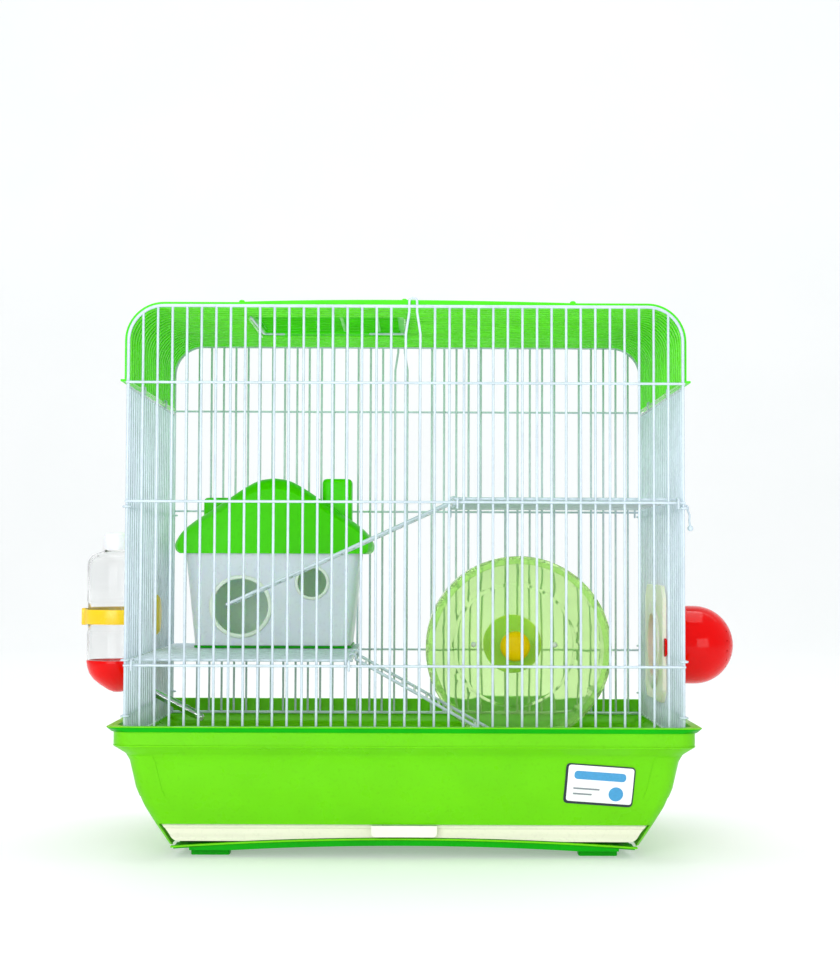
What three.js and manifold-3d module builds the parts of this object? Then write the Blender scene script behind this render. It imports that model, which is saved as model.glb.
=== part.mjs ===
// A two-level wire hamster cage: a lime tub with a pull-out tray, a wire top with an arched roof and a green
// cover, two wire shelves with ladders, a house, a running wheel, a water bottle and a domed tunnel port.
// Millimetres. X runs to the right, Y to the back, Z up. The origin is on the floor under the cage's centre.
import * as THREE from "three";
import { mergeVertices } from "three/addons/utils/BufferGeometryUtils.js";
import Module from "manifold-3d";

const wasm = await Module();
wasm.setup();

// ---- Driving dimensions ----

const GAP = 0.3; // clearance between pieces that rest on each other
const PITCH = 10; // spacing of the grille wires
const WIRE = 1.8; // side of the square bar that stands for a round grille wire
const EDGE_WIRE = 2.2; // side of the heavier wire round each panel
const RAIL_OFFSET = WIRE + 0.1; // a cross rail's centre stands this far outside the grille's plane
const HALF_WIDTH = 190; // centre of the side grilles, along X
const HALF_DEPTH = 120; // centre of the front and back grilles, along Y
const GRILLE_BOTTOM = 81.5;
const ROOF_TOP = 378.6; // centre of the arch's top wires
const ROOF_RADIUS = 24;
const ROOF_EDGE = 326.4; // the arch ends in a wire at this height on both sides
const FACE_RAILS = [132.4, 244.2, 325.7];
const SIDE_RAILS = [98, 136, 240.5];
const SIDE_TOP = 323;
const SIDE_END = HALF_DEPTH - 2.4; // the side grilles' long wires stop just inside the corner wires

const RIM = { halfX: 201, halfY: 132, bottom: 88, top: 92, radius: 14, lipRadius: 4.5 };
const TUB_WALL = 2;
const HALF_LENGTH = 244; // from the middle to the bottle band's boss, and to the dome's tip
const SLOT = { halfBottom: 159, halfTop: 169.2, bottom: 5, top: 23 }; // the tray's way in, wider at its top
const STAND = { halfX: 157, halfLip: 162, halfSkirt: 148, front: -101, back: 88, edge: 3.5, crown: 13.3, side: 7.7 };
const FOOT = { from: 121, to: 148, depth: 24 };

const LOWER_SHELF = { left: -187, right: -37, height: 136 };
const UPPER_SHELF = { left: 34, right: 187, height: 246.8 };
const SHELF_HALF_DEPTH = 115;
const LADDER = { length: 176, front: -75, back: -15 };
const UPPER_LADDER_SLOPE = 24.8; // degrees below level, falling to the left
const LOWER_LADDER_SLOPE = 29.1; // degrees below level, falling to the right

const HATCH = { left: -113, right: -1, front: -60, back: 50 }; // the hole in the roof wires
const HATCH_HINGE = { x: 0, z: 383.9, radius: 1.7 };

const HOUSE = { left: -162, right: -42.6, front: 32, back: 112, floor: 139.1, top: 211, wall: 1.8 };
const HOUSE_ROOF = { centre: -102, halfX: 76, front: 27, back: 117, eaves: 209.5, apex: 267.5, wall: 2 };

const WHEEL = { x: 85, z: 138, radius: 70, front: 9, back: 80, wall: 1.8 };
const BOTTLE = { x: -217, y: 15, radius: 23.3, bottom: 129.3, wall: 1.5 };
const SPOUT = { tilt: 28, wallZ: 105, radius: 3.3, bore: 2.4 }; // the tube crosses the left grille at wallZ
const PORT = { z: 142.4, bore: 23, sleeve: 24.8, collar: 26.9, domeRadius: 29, ring: 32.5 };

const rad = THREE.MathUtils.degToRad;

// ---- Materials ----

function plastic(color, roughness = 0.35, opacity = 1) {
  const transparent = opacity < 1;
  return new THREE.MeshStandardMaterial({ color, roughness, metalness: 0, opacity, transparent });
}

const lime = plastic(0x6fe019);
const limeDark = plastic(0x2fae12);
const coverGreen = plastic(0x4cd62c);
const greenWire = plastic(0x3cc828, 0.35);
const roofGreen = plastic(0x3cd600);
const ivory = plastic(0xfafaf0, 0.4);
const paleGrey = plastic(0xc8dcd7, 0.45);
const clearGreen = plastic(0xbeffaa, 0.15, 0.5);
const clearBottle = plastic(0xf2fbff, 0.1, 0.35);
const yellow = plastic(0xffc800);
const red = plastic(0xe10000, 0.15);
const white = plastic(0xffffff, 0.4);
const whiteWire = new THREE.MeshStandardMaterial({ color: 0xeef0fa, roughness: 0.35, metalness: 0.1 });
const steel = new THREE.MeshStandardMaterial({ color: 0xc9ccd0, roughness: 0.2, metalness: 1 });

// ---- Solids ----

// A closed three.js geometry as a manifold solid.
function solid(geometry) {
  const bare = geometry.index ? geometry.toNonIndexed() : geometry.clone();
  bare.deleteAttribute("normal");
  bare.deleteAttribute("uv");
  const merged = mergeVertices(bare, 1e-4);
  return new wasm.Manifold(
    new wasm.Mesh({
      numProp: 3,
      vertProperties: merged.attributes.position.array,
      triVerts: new Uint32Array(merged.index.array),
    }),
  );
}

function geometryOf(made) {
  const mesh = made.getMesh();
  const geometry = new THREE.BufferGeometry();
  geometry.setAttribute("position", new THREE.BufferAttribute(new Float32Array(mesh.vertProperties), 3));
  geometry.setIndex(new THREE.BufferAttribute(new Uint32Array(mesh.triVerts), 1));
  return geometry;
}

function join(geometries) {
  return geometryOf(geometries.map(solid).reduce((whole, piece) => whole.add(piece)));
}

function cut(geometry, tools) {
  return geometryOf(tools.map(solid).reduce((whole, tool) => whole.subtract(tool), solid(geometry)));
}

// A block between two corners.
function block(x0, x1, y0, y1, z0, z1) {
  const box = new THREE.BoxGeometry(x1 - x0, y1 - y0, z1 - z0);
  return box.translate((x0 + x1) / 2, (y0 + y1) / 2, (z0 + z1) / 2);
}

// Square bars along the three axes, centred on a line.
function barX(x0, x1, y, z, side = WIRE) {
  const half = side / 2;
  return block(x0, x1, y - half, y + half, z - half, z + half);
}

function barY(y0, y1, x, z, side = WIRE) {
  const half = side / 2;
  return block(x - half, x + half, y0, y1, z - half, z + half);
}

function barZ(z0, z1, x, y, side = WIRE) {
  const half = side / 2;
  return block(x - half, x + half, y - half, y + half, z0, z1);
}

// A shape drawn in X and Z, given a thickness from y0 to y1.
function frontShape(shape, y0, y1, curveSegments = 6) {
  const made = new THREE.ExtrudeGeometry(shape, { depth: y1 - y0, bevelEnabled: false, curveSegments });
  return made.rotateX(Math.PI / 2).translate(0, y1, 0);
}

// A shape drawn in Y and Z, given a thickness from x0 to x1.
function sideShape(shape, x0, x1, curveSegments = 6) {
  const made = new THREE.ExtrudeGeometry(shape, { depth: x1 - x0, bevelEnabled: false, curveSegments });
  const turn = new THREE.Matrix4().makeBasis(
    new THREE.Vector3(0, 1, 0),
    new THREE.Vector3(0, 0, 1),
    new THREE.Vector3(1, 0, 0),
  );
  return made.applyMatrix4(turn).translate(x0, 0, 0);
}

const polygon = (points) => new THREE.Shape(points.map(([x, y]) => new THREE.Vector2(x, y)));

// The outline of a wire of a given width that follows a line of points, as a shape.
function wireShape(points, width = WIRE) {
  const line = points.map(([x, y]) => new THREE.Vector2(x, y));
  const offsets = line.map((point, i) => {
    const before = point.clone().sub(line[Math.max(i - 1, 0)]);
    const after = line[Math.min(i + 1, line.length - 1)].clone().sub(point);
    const incoming = (before.length() ? before : after).clone().normalize();
    const outgoing = (after.length() ? after : before).clone().normalize();
    const middle = incoming.clone().add(outgoing).normalize();
    const stretch = 1 / Math.max(middle.dot(outgoing), 0.5);
    return new THREE.Vector2(-middle.y, middle.x).multiplyScalar((width / 2) * stretch);
  });
  const leftSide = line.map((point, i) => point.clone().add(offsets[i]));
  const rightSide = line.map((point, i) => point.clone().sub(offsets[i]));
  return new THREE.Shape([...rightSide, ...leftSide.reverse()]);
}

// Points of an arc from one angle to another, in degrees.
function arc(x, y, radius, from, to, count) {
  return Array.from({ length: count + 1 }, (_, i) => {
    const angle = rad(from + ((to - from) * i) / count);
    return [x + radius * Math.cos(angle), y + radius * Math.sin(angle)];
  });
}

// A body turned about the Y axis from a profile of [radius, y] points, whose outer wall runs up in y.
function turned(profile, segments) {
  return new THREE.LatheGeometry(
    profile.map(([radius, y]) => new THREE.Vector2(Math.max(radius, 0), y)),
    segments,
  );
}

const turnedUp = (profile, segments) => turned(profile, segments).rotateX(Math.PI / 2);
const turnedAcross = (profile, segments) => turned(profile, segments).rotateZ(-Math.PI / 2);
const closed = (profile) => [...profile, profile[0]];

// A level rounded rectangle as points, anticlockwise seen from above.
function level(z, halfX, halfY, radius, centreX = 0, centreY = 0) {
  const corners = [
    [1, 1, 0],
    [-1, 1, 90],
    [-1, -1, 180],
    [1, -1, 270],
  ];
  return corners.flatMap(([sideX, sideY, start]) => {
    const x = centreX + sideX * (halfX - radius);
    const y = centreY + sideY * (halfY - radius);
    return arc(x, y, radius, start, start + 90, 3).map(([px, py]) => new THREE.Vector3(px, py, z));
  });
}

// Skins a list of level outlines; the last joins the first again, so the walls enclose a ring of material.
function ring(levels) {
  const positions = [];
  levels.forEach((lower, i) => {
    const upper = levels[(i + 1) % levels.length];
    lower.forEach((a, j) => {
      const k = (j + 1) % lower.length;
      [a, lower[k], upper[k], a, upper[k], upper[j]].forEach((p) => positions.push(p.x, p.y, p.z));
    });
  });
  return new THREE.BufferGeometry().setAttribute("position", new THREE.Float32BufferAttribute(positions, 3));
}

function steps(from, to, step = PITCH) {
  return Array.from({ length: Math.round((to - from) / step) + 1 }, (_, i) => from + i * step);
}

const cage = new THREE.Group();

function add(name, geometry, material) {
  const mesh = new THREE.Mesh(geometry, material);
  mesh.name = name;
  cage.add(mesh);
}

// ---- Tub, stand and tray ----

// The tub's outer wall as [half width, height]. Its half depth is always the same amount less.
const TUB_OUTER = [
  [163, 7.5],
  [172, 23],
  [179, 36],
  [183.8, 48.7],
  [187.7, 67.5],
  [190, 72],
  [198, 78],
  [198, RIM.bottom],
  [RIM.halfX, RIM.bottom],
  [RIM.halfX, RIM.top],
];
const TUB_INNER = [
  [196, RIM.top],
  [196, 79.5],
  [188, 74],
  [185.6, 67.5],
  [181.8, 49],
  [177, 36.5],
  [170, 23.5],
  [163 - TUB_WALL, 7.5],
];
const DEPTH_LESS = RIM.halfX - RIM.halfY;

function baseTub() {
  const outline = ([halfX, z]) => {
    const radius = halfX === RIM.halfX ? RIM.lipRadius : RIM.radius - (RIM.halfX - halfX) / 5;
    return level(z, halfX, halfX - DEPTH_LESS, radius);
  };
  const walls = ring([...TUB_OUTER, ...TUB_INNER].map(outline));
  const slot = polygon([
    [-SLOT.halfBottom, SLOT.bottom],
    [SLOT.halfBottom, SLOT.bottom],
    [SLOT.halfTop, SLOT.top],
    [-SLOT.halfTop, SLOT.top],
  ]);
  return cut(walls, [frontShape(slot, -116, -86)]);
}

// The upper edge of the stand's front: an arch, highest in the middle.
function crownAt(x) {
  return STAND.crown - (STAND.crown - STAND.side) * (x / STAND.halfLip) ** 2;
}

function crownShape(halfX, bottomAt) {
  const across = steps(-halfX, halfX, halfX / 4);
  const upper = across.map((x) => [x, crownAt(x)]);
  return polygon([...bottomAt(across), ...upper.reverse()]);
}

function baseStand() {
  const skirtBottom = (across) => [
    [across[0], STAND.edge + 2],
    [-FOOT.to, STAND.edge],
    [FOOT.to, STAND.edge],
    [across.at(-1), STAND.edge + 2],
  ];
  const sheetBottom = (across) => across.map((x) => [x, crownAt(x) - TUB_WALL]);
  const feet = [-1, 1].flatMap((side) =>
    [STAND.front, STAND.back - FOOT.depth].map((y) => {
      const [x0, x1] = side < 0 ? [-FOOT.to, -FOOT.from] : [FOOT.from, FOOT.to];
      return block(x0, x1, y, y + FOOT.depth, 0, 8);
    }),
  );
  return join([
    frontShape(crownShape(STAND.halfX, sheetBottom), STAND.front + 1, STAND.back - 1),
    frontShape(crownShape(STAND.halfLip, sheetBottom), STAND.front, STAND.front + 2.5),
    frontShape(crownShape(STAND.halfSkirt, skirtBottom), STAND.front, STAND.front + 2.5),
    frontShape(crownShape(STAND.halfX, skirtBottom), STAND.back - 2.5, STAND.back),
    ...feet,
  ]);
}

function drawerTray() {
  const [halfX, front, back] = [159.5, -97, 88];
  const floor = STAND.crown + GAP;
  const wall = 1.8;
  const tray = cut(block(-halfX, halfX, front, back, floor, SLOT.top - 0.5), [
    block(-halfX + wall, halfX - wall, front + wall, back - wall, floor + wall, SLOT.top + 5),
  ]);
  const across = steps(-160, 160, 40);
  const upperCorner = [SLOT.halfTop - 0.8, SLOT.top - 0.4];
  const facia = polygon([
    ...across.map((x) => [x, crownAt(x) + GAP]),
    upperCorner,
    [-upperCorner[0], upperCorner[1]],
  ]);
  const handle = polygon([
    [-23, 22.5],
    [-23, 17.5],
    [-20, 14.5],
    [20, 14.5],
    [23, 17.5],
    [23, 22.5],
  ]);
  return join([tray, frontShape(facia, front - 2.2, front + 0.5), frontShape(handle, front - 8, front - 2)]);
}

// A generic blank label that follows the tub's front wall.
function label() {
  const [x0, x1, standOff, thick] = [106.5, 159.5, 0.35, 0.6];
  const wallLine = TUB_OUTER.slice(2, 5).map(([halfX, z]) => [-(halfX - DEPTH_LESS), z]);
  const outward = (distance) => wallLine.map(([y, z]) => [y - distance, z]);
  return sideShape(polygon([...outward(standOff), ...outward(standOff + thick).reverse()]), x0, x1);
}

// ---- Wire panels ----

// Height of the arch's wire above the floor at a place across the cage.
function archHeight(x) {
  const past = Math.max(Math.abs(x) - (HALF_WIDTH - ROOF_RADIUS), 0);
  return ROOF_TOP - ROOF_RADIUS + Math.sqrt(ROOF_RADIUS ** 2 - past ** 2);
}

// The line of an arch wire, from height z at the left, over the top, to height z at the right.
function archLine(z, grow = 0, arcSteps = 3) {
  const radius = ROOF_RADIUS + grow;
  const centreX = HALF_WIDTH - ROOF_RADIUS;
  const centreZ = ROOF_TOP - ROOF_RADIUS;
  return [
    [-HALF_WIDTH - grow, z],
    ...arc(-centreX, centreZ, radius, 180, 90, arcSteps),
    ...arc(centreX, centreZ, radius, 90, 0, arcSteps),
    [HALF_WIDTH + grow, z],
  ];
}

// The front grille, drawn about its own plane. Two of its uprights close into a loop above the roof.
function faceGrille() {
  const loop = [0, PITCH];
  const uprights = steps(-HALF_WIDTH + PITCH, HALF_WIDTH - PITCH).filter((x) => !loop.includes(x));
  const edge = wireShape(archLine(GRILLE_BOTTOM, 0, 4), EDGE_WIRE);
  const [neck, top, bend] = [1.6, ROOF_TOP + 6.1, ROOF_TOP - 23];
  const middle = PITCH / 2;
  const loopLine = [
    [loop[0], GRILLE_BOTTOM],
    [loop[0], bend],
    [middle - neck, bend + 12],
    [middle - neck, top],
    [middle + neck, top],
    [middle + neck, bend + 12],
    [loop[1], bend],
    [loop[1], GRILLE_BOTTOM],
  ];
  return join([
    frontShape(edge, -EDGE_WIRE / 2, EDGE_WIRE / 2),
    barX(-HALF_WIDTH - EDGE_WIRE / 2, HALF_WIDTH + EDGE_WIRE / 2, 0, GRILLE_BOTTOM, EDGE_WIRE),
    frontShape(wireShape(loopLine), -WIRE / 2, WIRE / 2),
    ...uprights.map((x) => barZ(GRILLE_BOTTOM, archHeight(x), x, 0)),
    ...FACE_RAILS.map((z) => barX(-HALF_WIDTH - 1, HALF_WIDTH + 1, -RAIL_OFFSET, z)),
  ]);
}

// An eye at the end of a side rail, round the corner wire.
function cornerEye(y, z) {
  const eye = new THREE.Shape().absarc(0, 0, 3.3, 0, 2 * Math.PI);
  eye.holes.push(new THREE.Path().absarc(0, 0, 2.05, 0, 2 * Math.PI, true));
  const made = new THREE.ExtrudeGeometry(eye, { depth: WIRE, bevelEnabled: false, curveSegments: 4 });
  return made.translate(HALF_WIDTH, y, z - WIRE / 2);
}

// A hook on top of a side grille that holds the roof's edge wire down.
function roofHook(y) {
  const hook = polygon([
    [-2.8, SIDE_TOP - 0.8],
    [-0.5, SIDE_TOP - 0.8],
    [-0.5, SIDE_TOP + 0.6],
    [-1.4, SIDE_TOP + 0.6],
    [-1.4, ROOF_EDGE + 1.4],
    [0.8, ROOF_EDGE + 1.4],
    [0.8, ROOF_EDGE + 2.8],
    [-2.8, ROOF_EDGE + 2.8],
  ]);
  return frontShape(hook, y - WIRE / 2, y + WIRE / 2).translate(HALF_WIDTH, 0, 0);
}

// The right-hand grille, which is the left one turned half round. A doorway leaves room for the tunnel port.
function sideGrille(doorway) {
  const ends = HALF_DEPTH - PITCH;
  const inDoor = (y) => doorway && Math.abs(y) < doorway.halfY;
  const onEdge = (y) => Math.abs(y) === ends || (doorway && Math.abs(y) === doorway.halfY);
  const uprights = steps(-ends, ends).flatMap((y) => {
    const side = onEdge(y) ? EDGE_WIRE : WIRE;
    const upright = (z0, z1) => barZ(z0, z1, HALF_WIDTH, y, side);
    return inDoor(y)
      ? [upright(GRILLE_BOTTOM, doorway.bottom), upright(doorway.top, SIDE_TOP)]
      : [upright(GRILLE_BOTTOM, SIDE_TOP)];
  });
  const rails = SIDE_RAILS.flatMap((z) => {
    const rail = (y0, y1) => barY(y0, y1, HALF_WIDTH + RAIL_OFFSET, z);
    return doorway && z > doorway.bottom && z < doorway.top
      ? [rail(-SIDE_END, -doorway.halfY), rail(doorway.halfY, SIDE_END)]
      : [rail(-SIDE_END, SIDE_END)];
  });
  const doorBars = doorway
    ? [doorway.bottom, doorway.top].map((z) => barY(-doorway.halfY, doorway.halfY, HALF_WIDTH, z, EDGE_WIRE))
    : [];
  return join([
    barY(-SIDE_END, SIDE_END, HALF_WIDTH, GRILLE_BOTTOM, EDGE_WIRE),
    barY(-SIDE_END, SIDE_END, HALF_WIDTH, SIDE_TOP, EDGE_WIRE),
    ...uprights,
    ...rails,
    ...doorBars,
    ...SIDE_RAILS.flatMap((z) => [cornerEye(-HALF_DEPTH, z), cornerEye(HALF_DEPTH, z)]),
    roofHook(-55),
    roofHook(55),
  ]);
}

// The arch of roof wires, with a framed hole under the hatch.
function roofGrille() {
  const ends = HALF_DEPTH - PITCH;
  const line = archLine(ROOF_EDGE);
  const half = line.length / 2;
  const wire = (points, y) => frontShape(wireShape(points), y - WIRE / 2, y + WIRE / 2);
  const wires = steps(-ends, ends).flatMap((y) => {
    if (y <= HATCH.front || y >= HATCH.back) return [wire(line, y)];
    const left = [...line.slice(0, half), [HATCH.left, ROOF_TOP]];
    const right = [[HATCH.right, ROOF_TOP], ...line.slice(half)];
    return [wire(left, y), wire(right, y)];
  });
  return join([
    ...wires,
    barY(-SIDE_END, SIDE_END, -HALF_WIDTH, ROOF_EDGE, EDGE_WIRE),
    barY(-SIDE_END, SIDE_END, HALF_WIDTH, ROOF_EDGE, EDGE_WIRE),
    barY(HATCH.front, HATCH.back, HATCH.left, ROOF_TOP, EDGE_WIRE),
    barY(HATCH.front, HATCH.back, HATCH.right, ROOF_TOP, EDGE_WIRE),
  ]);
}

// ---- Roof cover and hatch ----

const COVER = { clearance: 1.4, thick: 1.4, halfY: 118.4, lip: 195.6, edge: 326.6 };
const COVER_TOP = ROOF_TOP + COVER.clearance + COVER.thick;

// One barrel of the hatch's hinge, with a web down or across to what it belongs to.
function hingeBarrel(y0, y1, web) {
  const at = (profile) => turned(profile, 12).translate(HATCH_HINGE.x, 0, HATCH_HINGE.z);
  const barrel = join([at([[0, y0], [HATCH_HINGE.radius, y0], [HATCH_HINGE.radius, y1], [0, y1]]), web]);
  return cut(barrel, [at([[0, y0 - 1], [1.15, y0 - 1], [1.15, y1 + 1], [0, y1 + 1]])]);
}

function roofCover() {
  const inner = archLine(COVER.edge, COVER.clearance, 5);
  const outer = archLine(COVER.edge + COVER.thick, COVER.clearance + COVER.thick, 5);
  const lipRight = [
    [COVER.lip, COVER.edge + COVER.thick],
    [COVER.lip, COVER.edge],
  ];
  const lipLeft = lipRight.map(([x, z]) => [-x, z]).reverse();
  const section = polygon([...outer, ...lipRight, ...inner.reverse(), ...lipLeft]);
  const knuckleWeb = (y0) => block(-1, 1, y0, y0 + 6, COVER_TOP - 0.5, HATCH_HINGE.z - 1.2);
  const knuckle = (y0) => hingeBarrel(y0, y0 + 6, knuckleWeb(y0));
  const body = join([
    frontShape(section, -COVER.halfY, COVER.halfY),
    block(HATCH.left, -4, -78, 71, COVER_TOP - 0.6, COVER_TOP + 0.8),
    block(6, 115, -78, 71, COVER_TOP - 0.6, COVER_TOP + 0.8),
    knuckle(-57),
    knuckle(37),
  ]);
  return cut(body, [
    block(HATCH.left + 4, -5, HATCH.front + 4, HATCH.back - 8, COVER_TOP - 8, COVER_TOP + 8),
    block(12, 109, -72, 65, COVER_TOP + 0.2, COVER_TOP + 8),
  ]);
}

function roofHatch() {
  const bottom = COVER_TOP + 0.8 + GAP;
  const top = bottom + 1.2;
  const arm = (y0) => block(-4, -1.3, y0, y0 + 6, bottom, HATCH_HINGE.z + 0.5);
  const gripHollow = block(-66, -47, -36, 20, top + 0.2, top + 4);
  const grip = cut(block(-71, -42, -40, 24, top - 0.3, top + 1), [gripHollow]);
  return join([
    block(HATCH.left + 1, -3.4, HATCH.front, HATCH.back - 6, bottom, top),
    grip,
    hingeBarrel(-50, -44, arm(-50)),
    hingeBarrel(30, 36, arm(30)),
  ]);
}

function hatchPin() {
  const profile = [[0, -59], [0.9, -59], [0.9, 45], [0, 45]];
  return turned(profile, 10).translate(HATCH_HINGE.x, 0, HATCH_HINGE.z);
}

// ---- Shelves and ladders ----

// A hook from a shelf's corner over the front or back grille's rail.
function shelfHook(x, z, side) {
  const reach = HALF_DEPTH + RAIL_OFFSET + 2.7;
  const line = [
    [side * (SHELF_HALF_DEPTH - 1), z],
    [side * reach, z],
    [side * reach, z - 7],
  ];
  return sideShape(wireShape(side > 0 ? line : line.reverse(), 1.6), x - 0.8, x + 0.8);
}

function shelf({ left, right, height }) {
  const depth = SHELF_HALF_DEPTH;
  const wires = steps(-HALF_DEPTH + PITCH, HALF_DEPTH - PITCH).map((y) => barX(left, right, y, height));
  const hookPlaces = [left + 1.6, right - 0.8];
  return join([
    ...wires,
    ...[-depth, depth].map((y) => barX(left - EDGE_WIRE / 2, right + EDGE_WIRE / 2, y, height, EDGE_WIRE)),
    ...[left, right].map((x) => barY(-depth, depth, x, height, EDGE_WIRE)),
    ...hookPlaces.flatMap((x) => [shelfHook(x, height, -1), shelfHook(x, height, 1)]),
  ]);
}

// A ladder that hangs by two open eyes on a shelf's edge wire, drawn level along +X from that wire.
function ladder() {
  const rungs = steps(PITCH, LADDER.length - 6).map((x) => barY(LADDER.front, LADDER.back, x, 0));
  const eye = (y) => frontShape(wireShape(arc(0, 0, 2.9, 0, 300, 10), 1.6), y - WIRE / 2, y + WIRE / 2);
  return join([
    ...[LADDER.front, LADDER.back].flatMap((y) => [barX(2.9, LADDER.length, y, 0, EDGE_WIRE), eye(y)]),
    barY(LADDER.front, LADDER.back, LADDER.length, 0, EDGE_WIRE),
    ...rungs,
  ]);
}

const lowerLadder = () =>
  ladder().rotateY(rad(LOWER_LADDER_SLOPE)).translate(LOWER_SHELF.right, 0, LOWER_SHELF.height);

// The same ladder turned to fall the other way; its front and back rails change places.
const upperLadder = () =>
  ladder()
    .rotateZ(Math.PI)
    .translate(0, LADDER.front + LADDER.back, 0)
    .rotateY(-rad(UPPER_LADDER_SLOPE))
    .translate(UPPER_SHELF.left, 0, UPPER_SHELF.height);

// ---- House ----

// The house's outline at a height, moved in from its outer face. Its sides lean out as they rise.
function houseLevel(z, inset) {
  const { left, right, front, back, floor, top } = HOUSE;
  const lean = (7.5 * (z - floor)) / (top - floor);
  const halfX = (right - left) / 2 + lean - inset;
  const halfY = (back - front) / 2 + lean / 4 - inset;
  return level(z, halfX, halfY, 8, (left + right) / 2, (front + back) / 2);
}

function houseFloor() {
  const outline = new THREE.Shape(houseLevel(HOUSE.floor, -0.8).map((p) => new THREE.Vector2(p.x, p.y)));
  const plate = new THREE.ExtrudeGeometry(outline, { depth: 1.5, bevelEnabled: false });
  return plate.translate(0, 0, HOUSE.floor - GAP - 1.5);
}

function houseBody() {
  const { front, floor, top, wall } = HOUSE;
  const outside = [houseLevel(floor, 0), houseLevel(top, 0)];
  const inside = [houseLevel(top, wall), houseLevel(floor, wall)];
  const [y0, y1] = [front - 5, front + 20];
  const hole = (x, z, radius) => turned([[0, y0], [radius, y0], [radius, y1], [0, y1]], 24).translate(x, 0, z);
  return cut(ring([...outside, ...inside]), [hole(-126.5, 169, 21), hole(-72, 187.4, 10.9)]);
}

// Half outline of the bell-shaped roof, from the eaves over the apex, inset from the outer surface.
function bellShape(inset) {
  const { centre, halfX, eaves, apex } = HOUSE_ROOF;
  const reach = halfX - inset;
  const height = apex - inset - eaves;
  const rise = (u) => eaves + height * (0.2 + 0.8 * (1 - Math.abs(u) ** 1.55));
  const curve = steps(-1, 1, 1 / 8).map((u) => [centre - reach * u, rise(u)]);
  const bottom = inset ? eaves - 1 : eaves; // the hollow is cut a little past the open underside
  return polygon([[centre - reach, bottom], [centre + reach, bottom], ...curve]);
}

function houseRoof() {
  const { front, back, wall } = HOUSE_ROOF;
  const chimney = block(-65.6, -42.6, 52, 75, 225, 268);
  const dormer = block(-158, -136, 52, 75, 225, 253);
  const outside = join([frontShape(bellShape(0), front, back), chimney, dormer]);
  return cut(outside, [frontShape(bellShape(wall), front + wall, back - wall)]);
}

// ---- Wheel ----

function wheelDrum() {
  const { radius, front, back, wall } = WHEEL;
  const hubFront = back - 18;
  const profile = [
    [3.5, hubFront],
    [9, hubFront],
    [9, back - 5],
    [46, back - 5],
    [48, back - wall],
    [radius - wall, back - wall],
    [radius - wall, front + 2],
    [radius - 6, front + 2],
    [radius - 6, front],
    [radius, front],
    [radius, back],
    [48.5, back],
    [46.5, back - 5 + wall],
    [3.5, back - 5 + wall],
  ];
  return turned(closed(profile), 32).translate(WHEEL.x, 0, WHEEL.z);
}

// The bracket on the back grille: an axle forwards, and a threaded stem out between two wires.
function wheelStand() {
  const face = HALF_DEPTH - 1.4;
  const axle = [[0, 61.6], [3, 61.6], [3, 98]];
  const disc = [[8, 98], [23.5, 104], [23.5, 112], [15, face]];
  const stem = [[3, face], [3, 128], [0, 128]];
  const profile = [...axle, ...disc, ...stem];
  return turned(profile, 20).translate(WHEEL.x, 0, WHEEL.z);
}

function wheelCap() {
  const profile = [[0, 53], [8, 53.4], [11.7, 56], [11.7, 61.3], [0, 61.3]];
  return turned(profile, 20).translate(WHEEL.x, 0, WHEEL.z);
}

function wheelNut() {
  const [bore, outer, front] = [3.4, 13, HALF_DEPTH + 3.3];
  const profile = [[bore, front], [outer, front], [outer, front + 5.5], [bore, front + 5.5]];
  return turned(closed(profile), 16).translate(WHEEL.x, 0, WHEEL.z);
}

// ---- Water bottle ----

const onBottle = (geometry) => geometry.translate(BOTTLE.x, BOTTLE.y, 0);

function bottleShell() {
  const { radius, bottom, wall } = BOTTLE;
  const outer = [[radius, bottom], [radius, 203], [20, 208.5], [10.5, 211], [10.5, 218]];
  const inner = outer.map(([r, z], i) => [r - wall, i === 3 || i === 2 ? z - wall : z]).reverse();
  return onBottle(turnedUp(closed([...outer, ...inner]), 24));
}

function bottleTopCap() {
  const inner = [[0, 223], [9, 222.6], [10.9, 219.5], [10.9, 211.6]];
  const outer = [[12.2, 211.6], [12.2, 221], [10, 225], [0, 225]];
  return onBottle(turnedUp([...inner, ...outer], 20));
}

// The ring that holds the bottle, with a boss outside and a stem that passes between two wires.
function bottleBand() {
  const { x, y, radius } = BOTTLE;
  const [inner, outer, z0, z1] = [radius + 0.4, radius + 1.9, 156, 167];
  const band = turnedUp(closed([[inner, z0], [outer, z0], [outer, z1], [inner, z1]]), 28);
  const boss = block(-HALF_LENGTH, x - inner - 0.3, y - 5, y + 5, z0 + 1.5, z1 - 1.5);
  const stem = block(x + inner + 0.3, -HALF_WIDTH + 1, y - 3.4, y + 3.4, z0 + 1.5, z1 - 1.5);
  return join([onBottle(band), boss, stem]);
}

function bottleClamp() {
  return block(-HALF_WIDTH + 1.3, -HALF_WIDTH + 4.3, BOTTLE.y - 12, BOTTLE.y + 12, 148, 178);
}

// A body turned about the spout's axis, where y is 0 at the left grille and grows into the cage.
function onSpout(profile, segments) {
  return turnedAcross(profile, segments)
    .rotateY(rad(SPOUT.tilt))
    .translate(-HALF_WIDTH, BOTTLE.y, SPOUT.wallZ);
}

function spoutCap() {
  const top = BOTTLE.bottom - GAP;
  const outer = [[0, 105.5], [13, 107], [20.5, 113], [23.8, 121], [23.8, top]];
  const inner = [[21.8, top], [21.8, 121.6], [19.2, 114.8], [12.4, 109.4], [0, 108]];
  const cup = [...outer, ...inner];
  const sleeve = [[0, -24], [5.5, -24], [5.5, -9.5], [0, -9.5]];
  const socket = [[0, -28], [SPOUT.radius + 0.4, -28], [SPOUT.radius + 0.4, -8], [0, -8]];
  return cut(join([onBottle(turnedUp(cup, 24)), onSpout(sleeve, 16)]), [onSpout(socket, 16)]);
}

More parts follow.
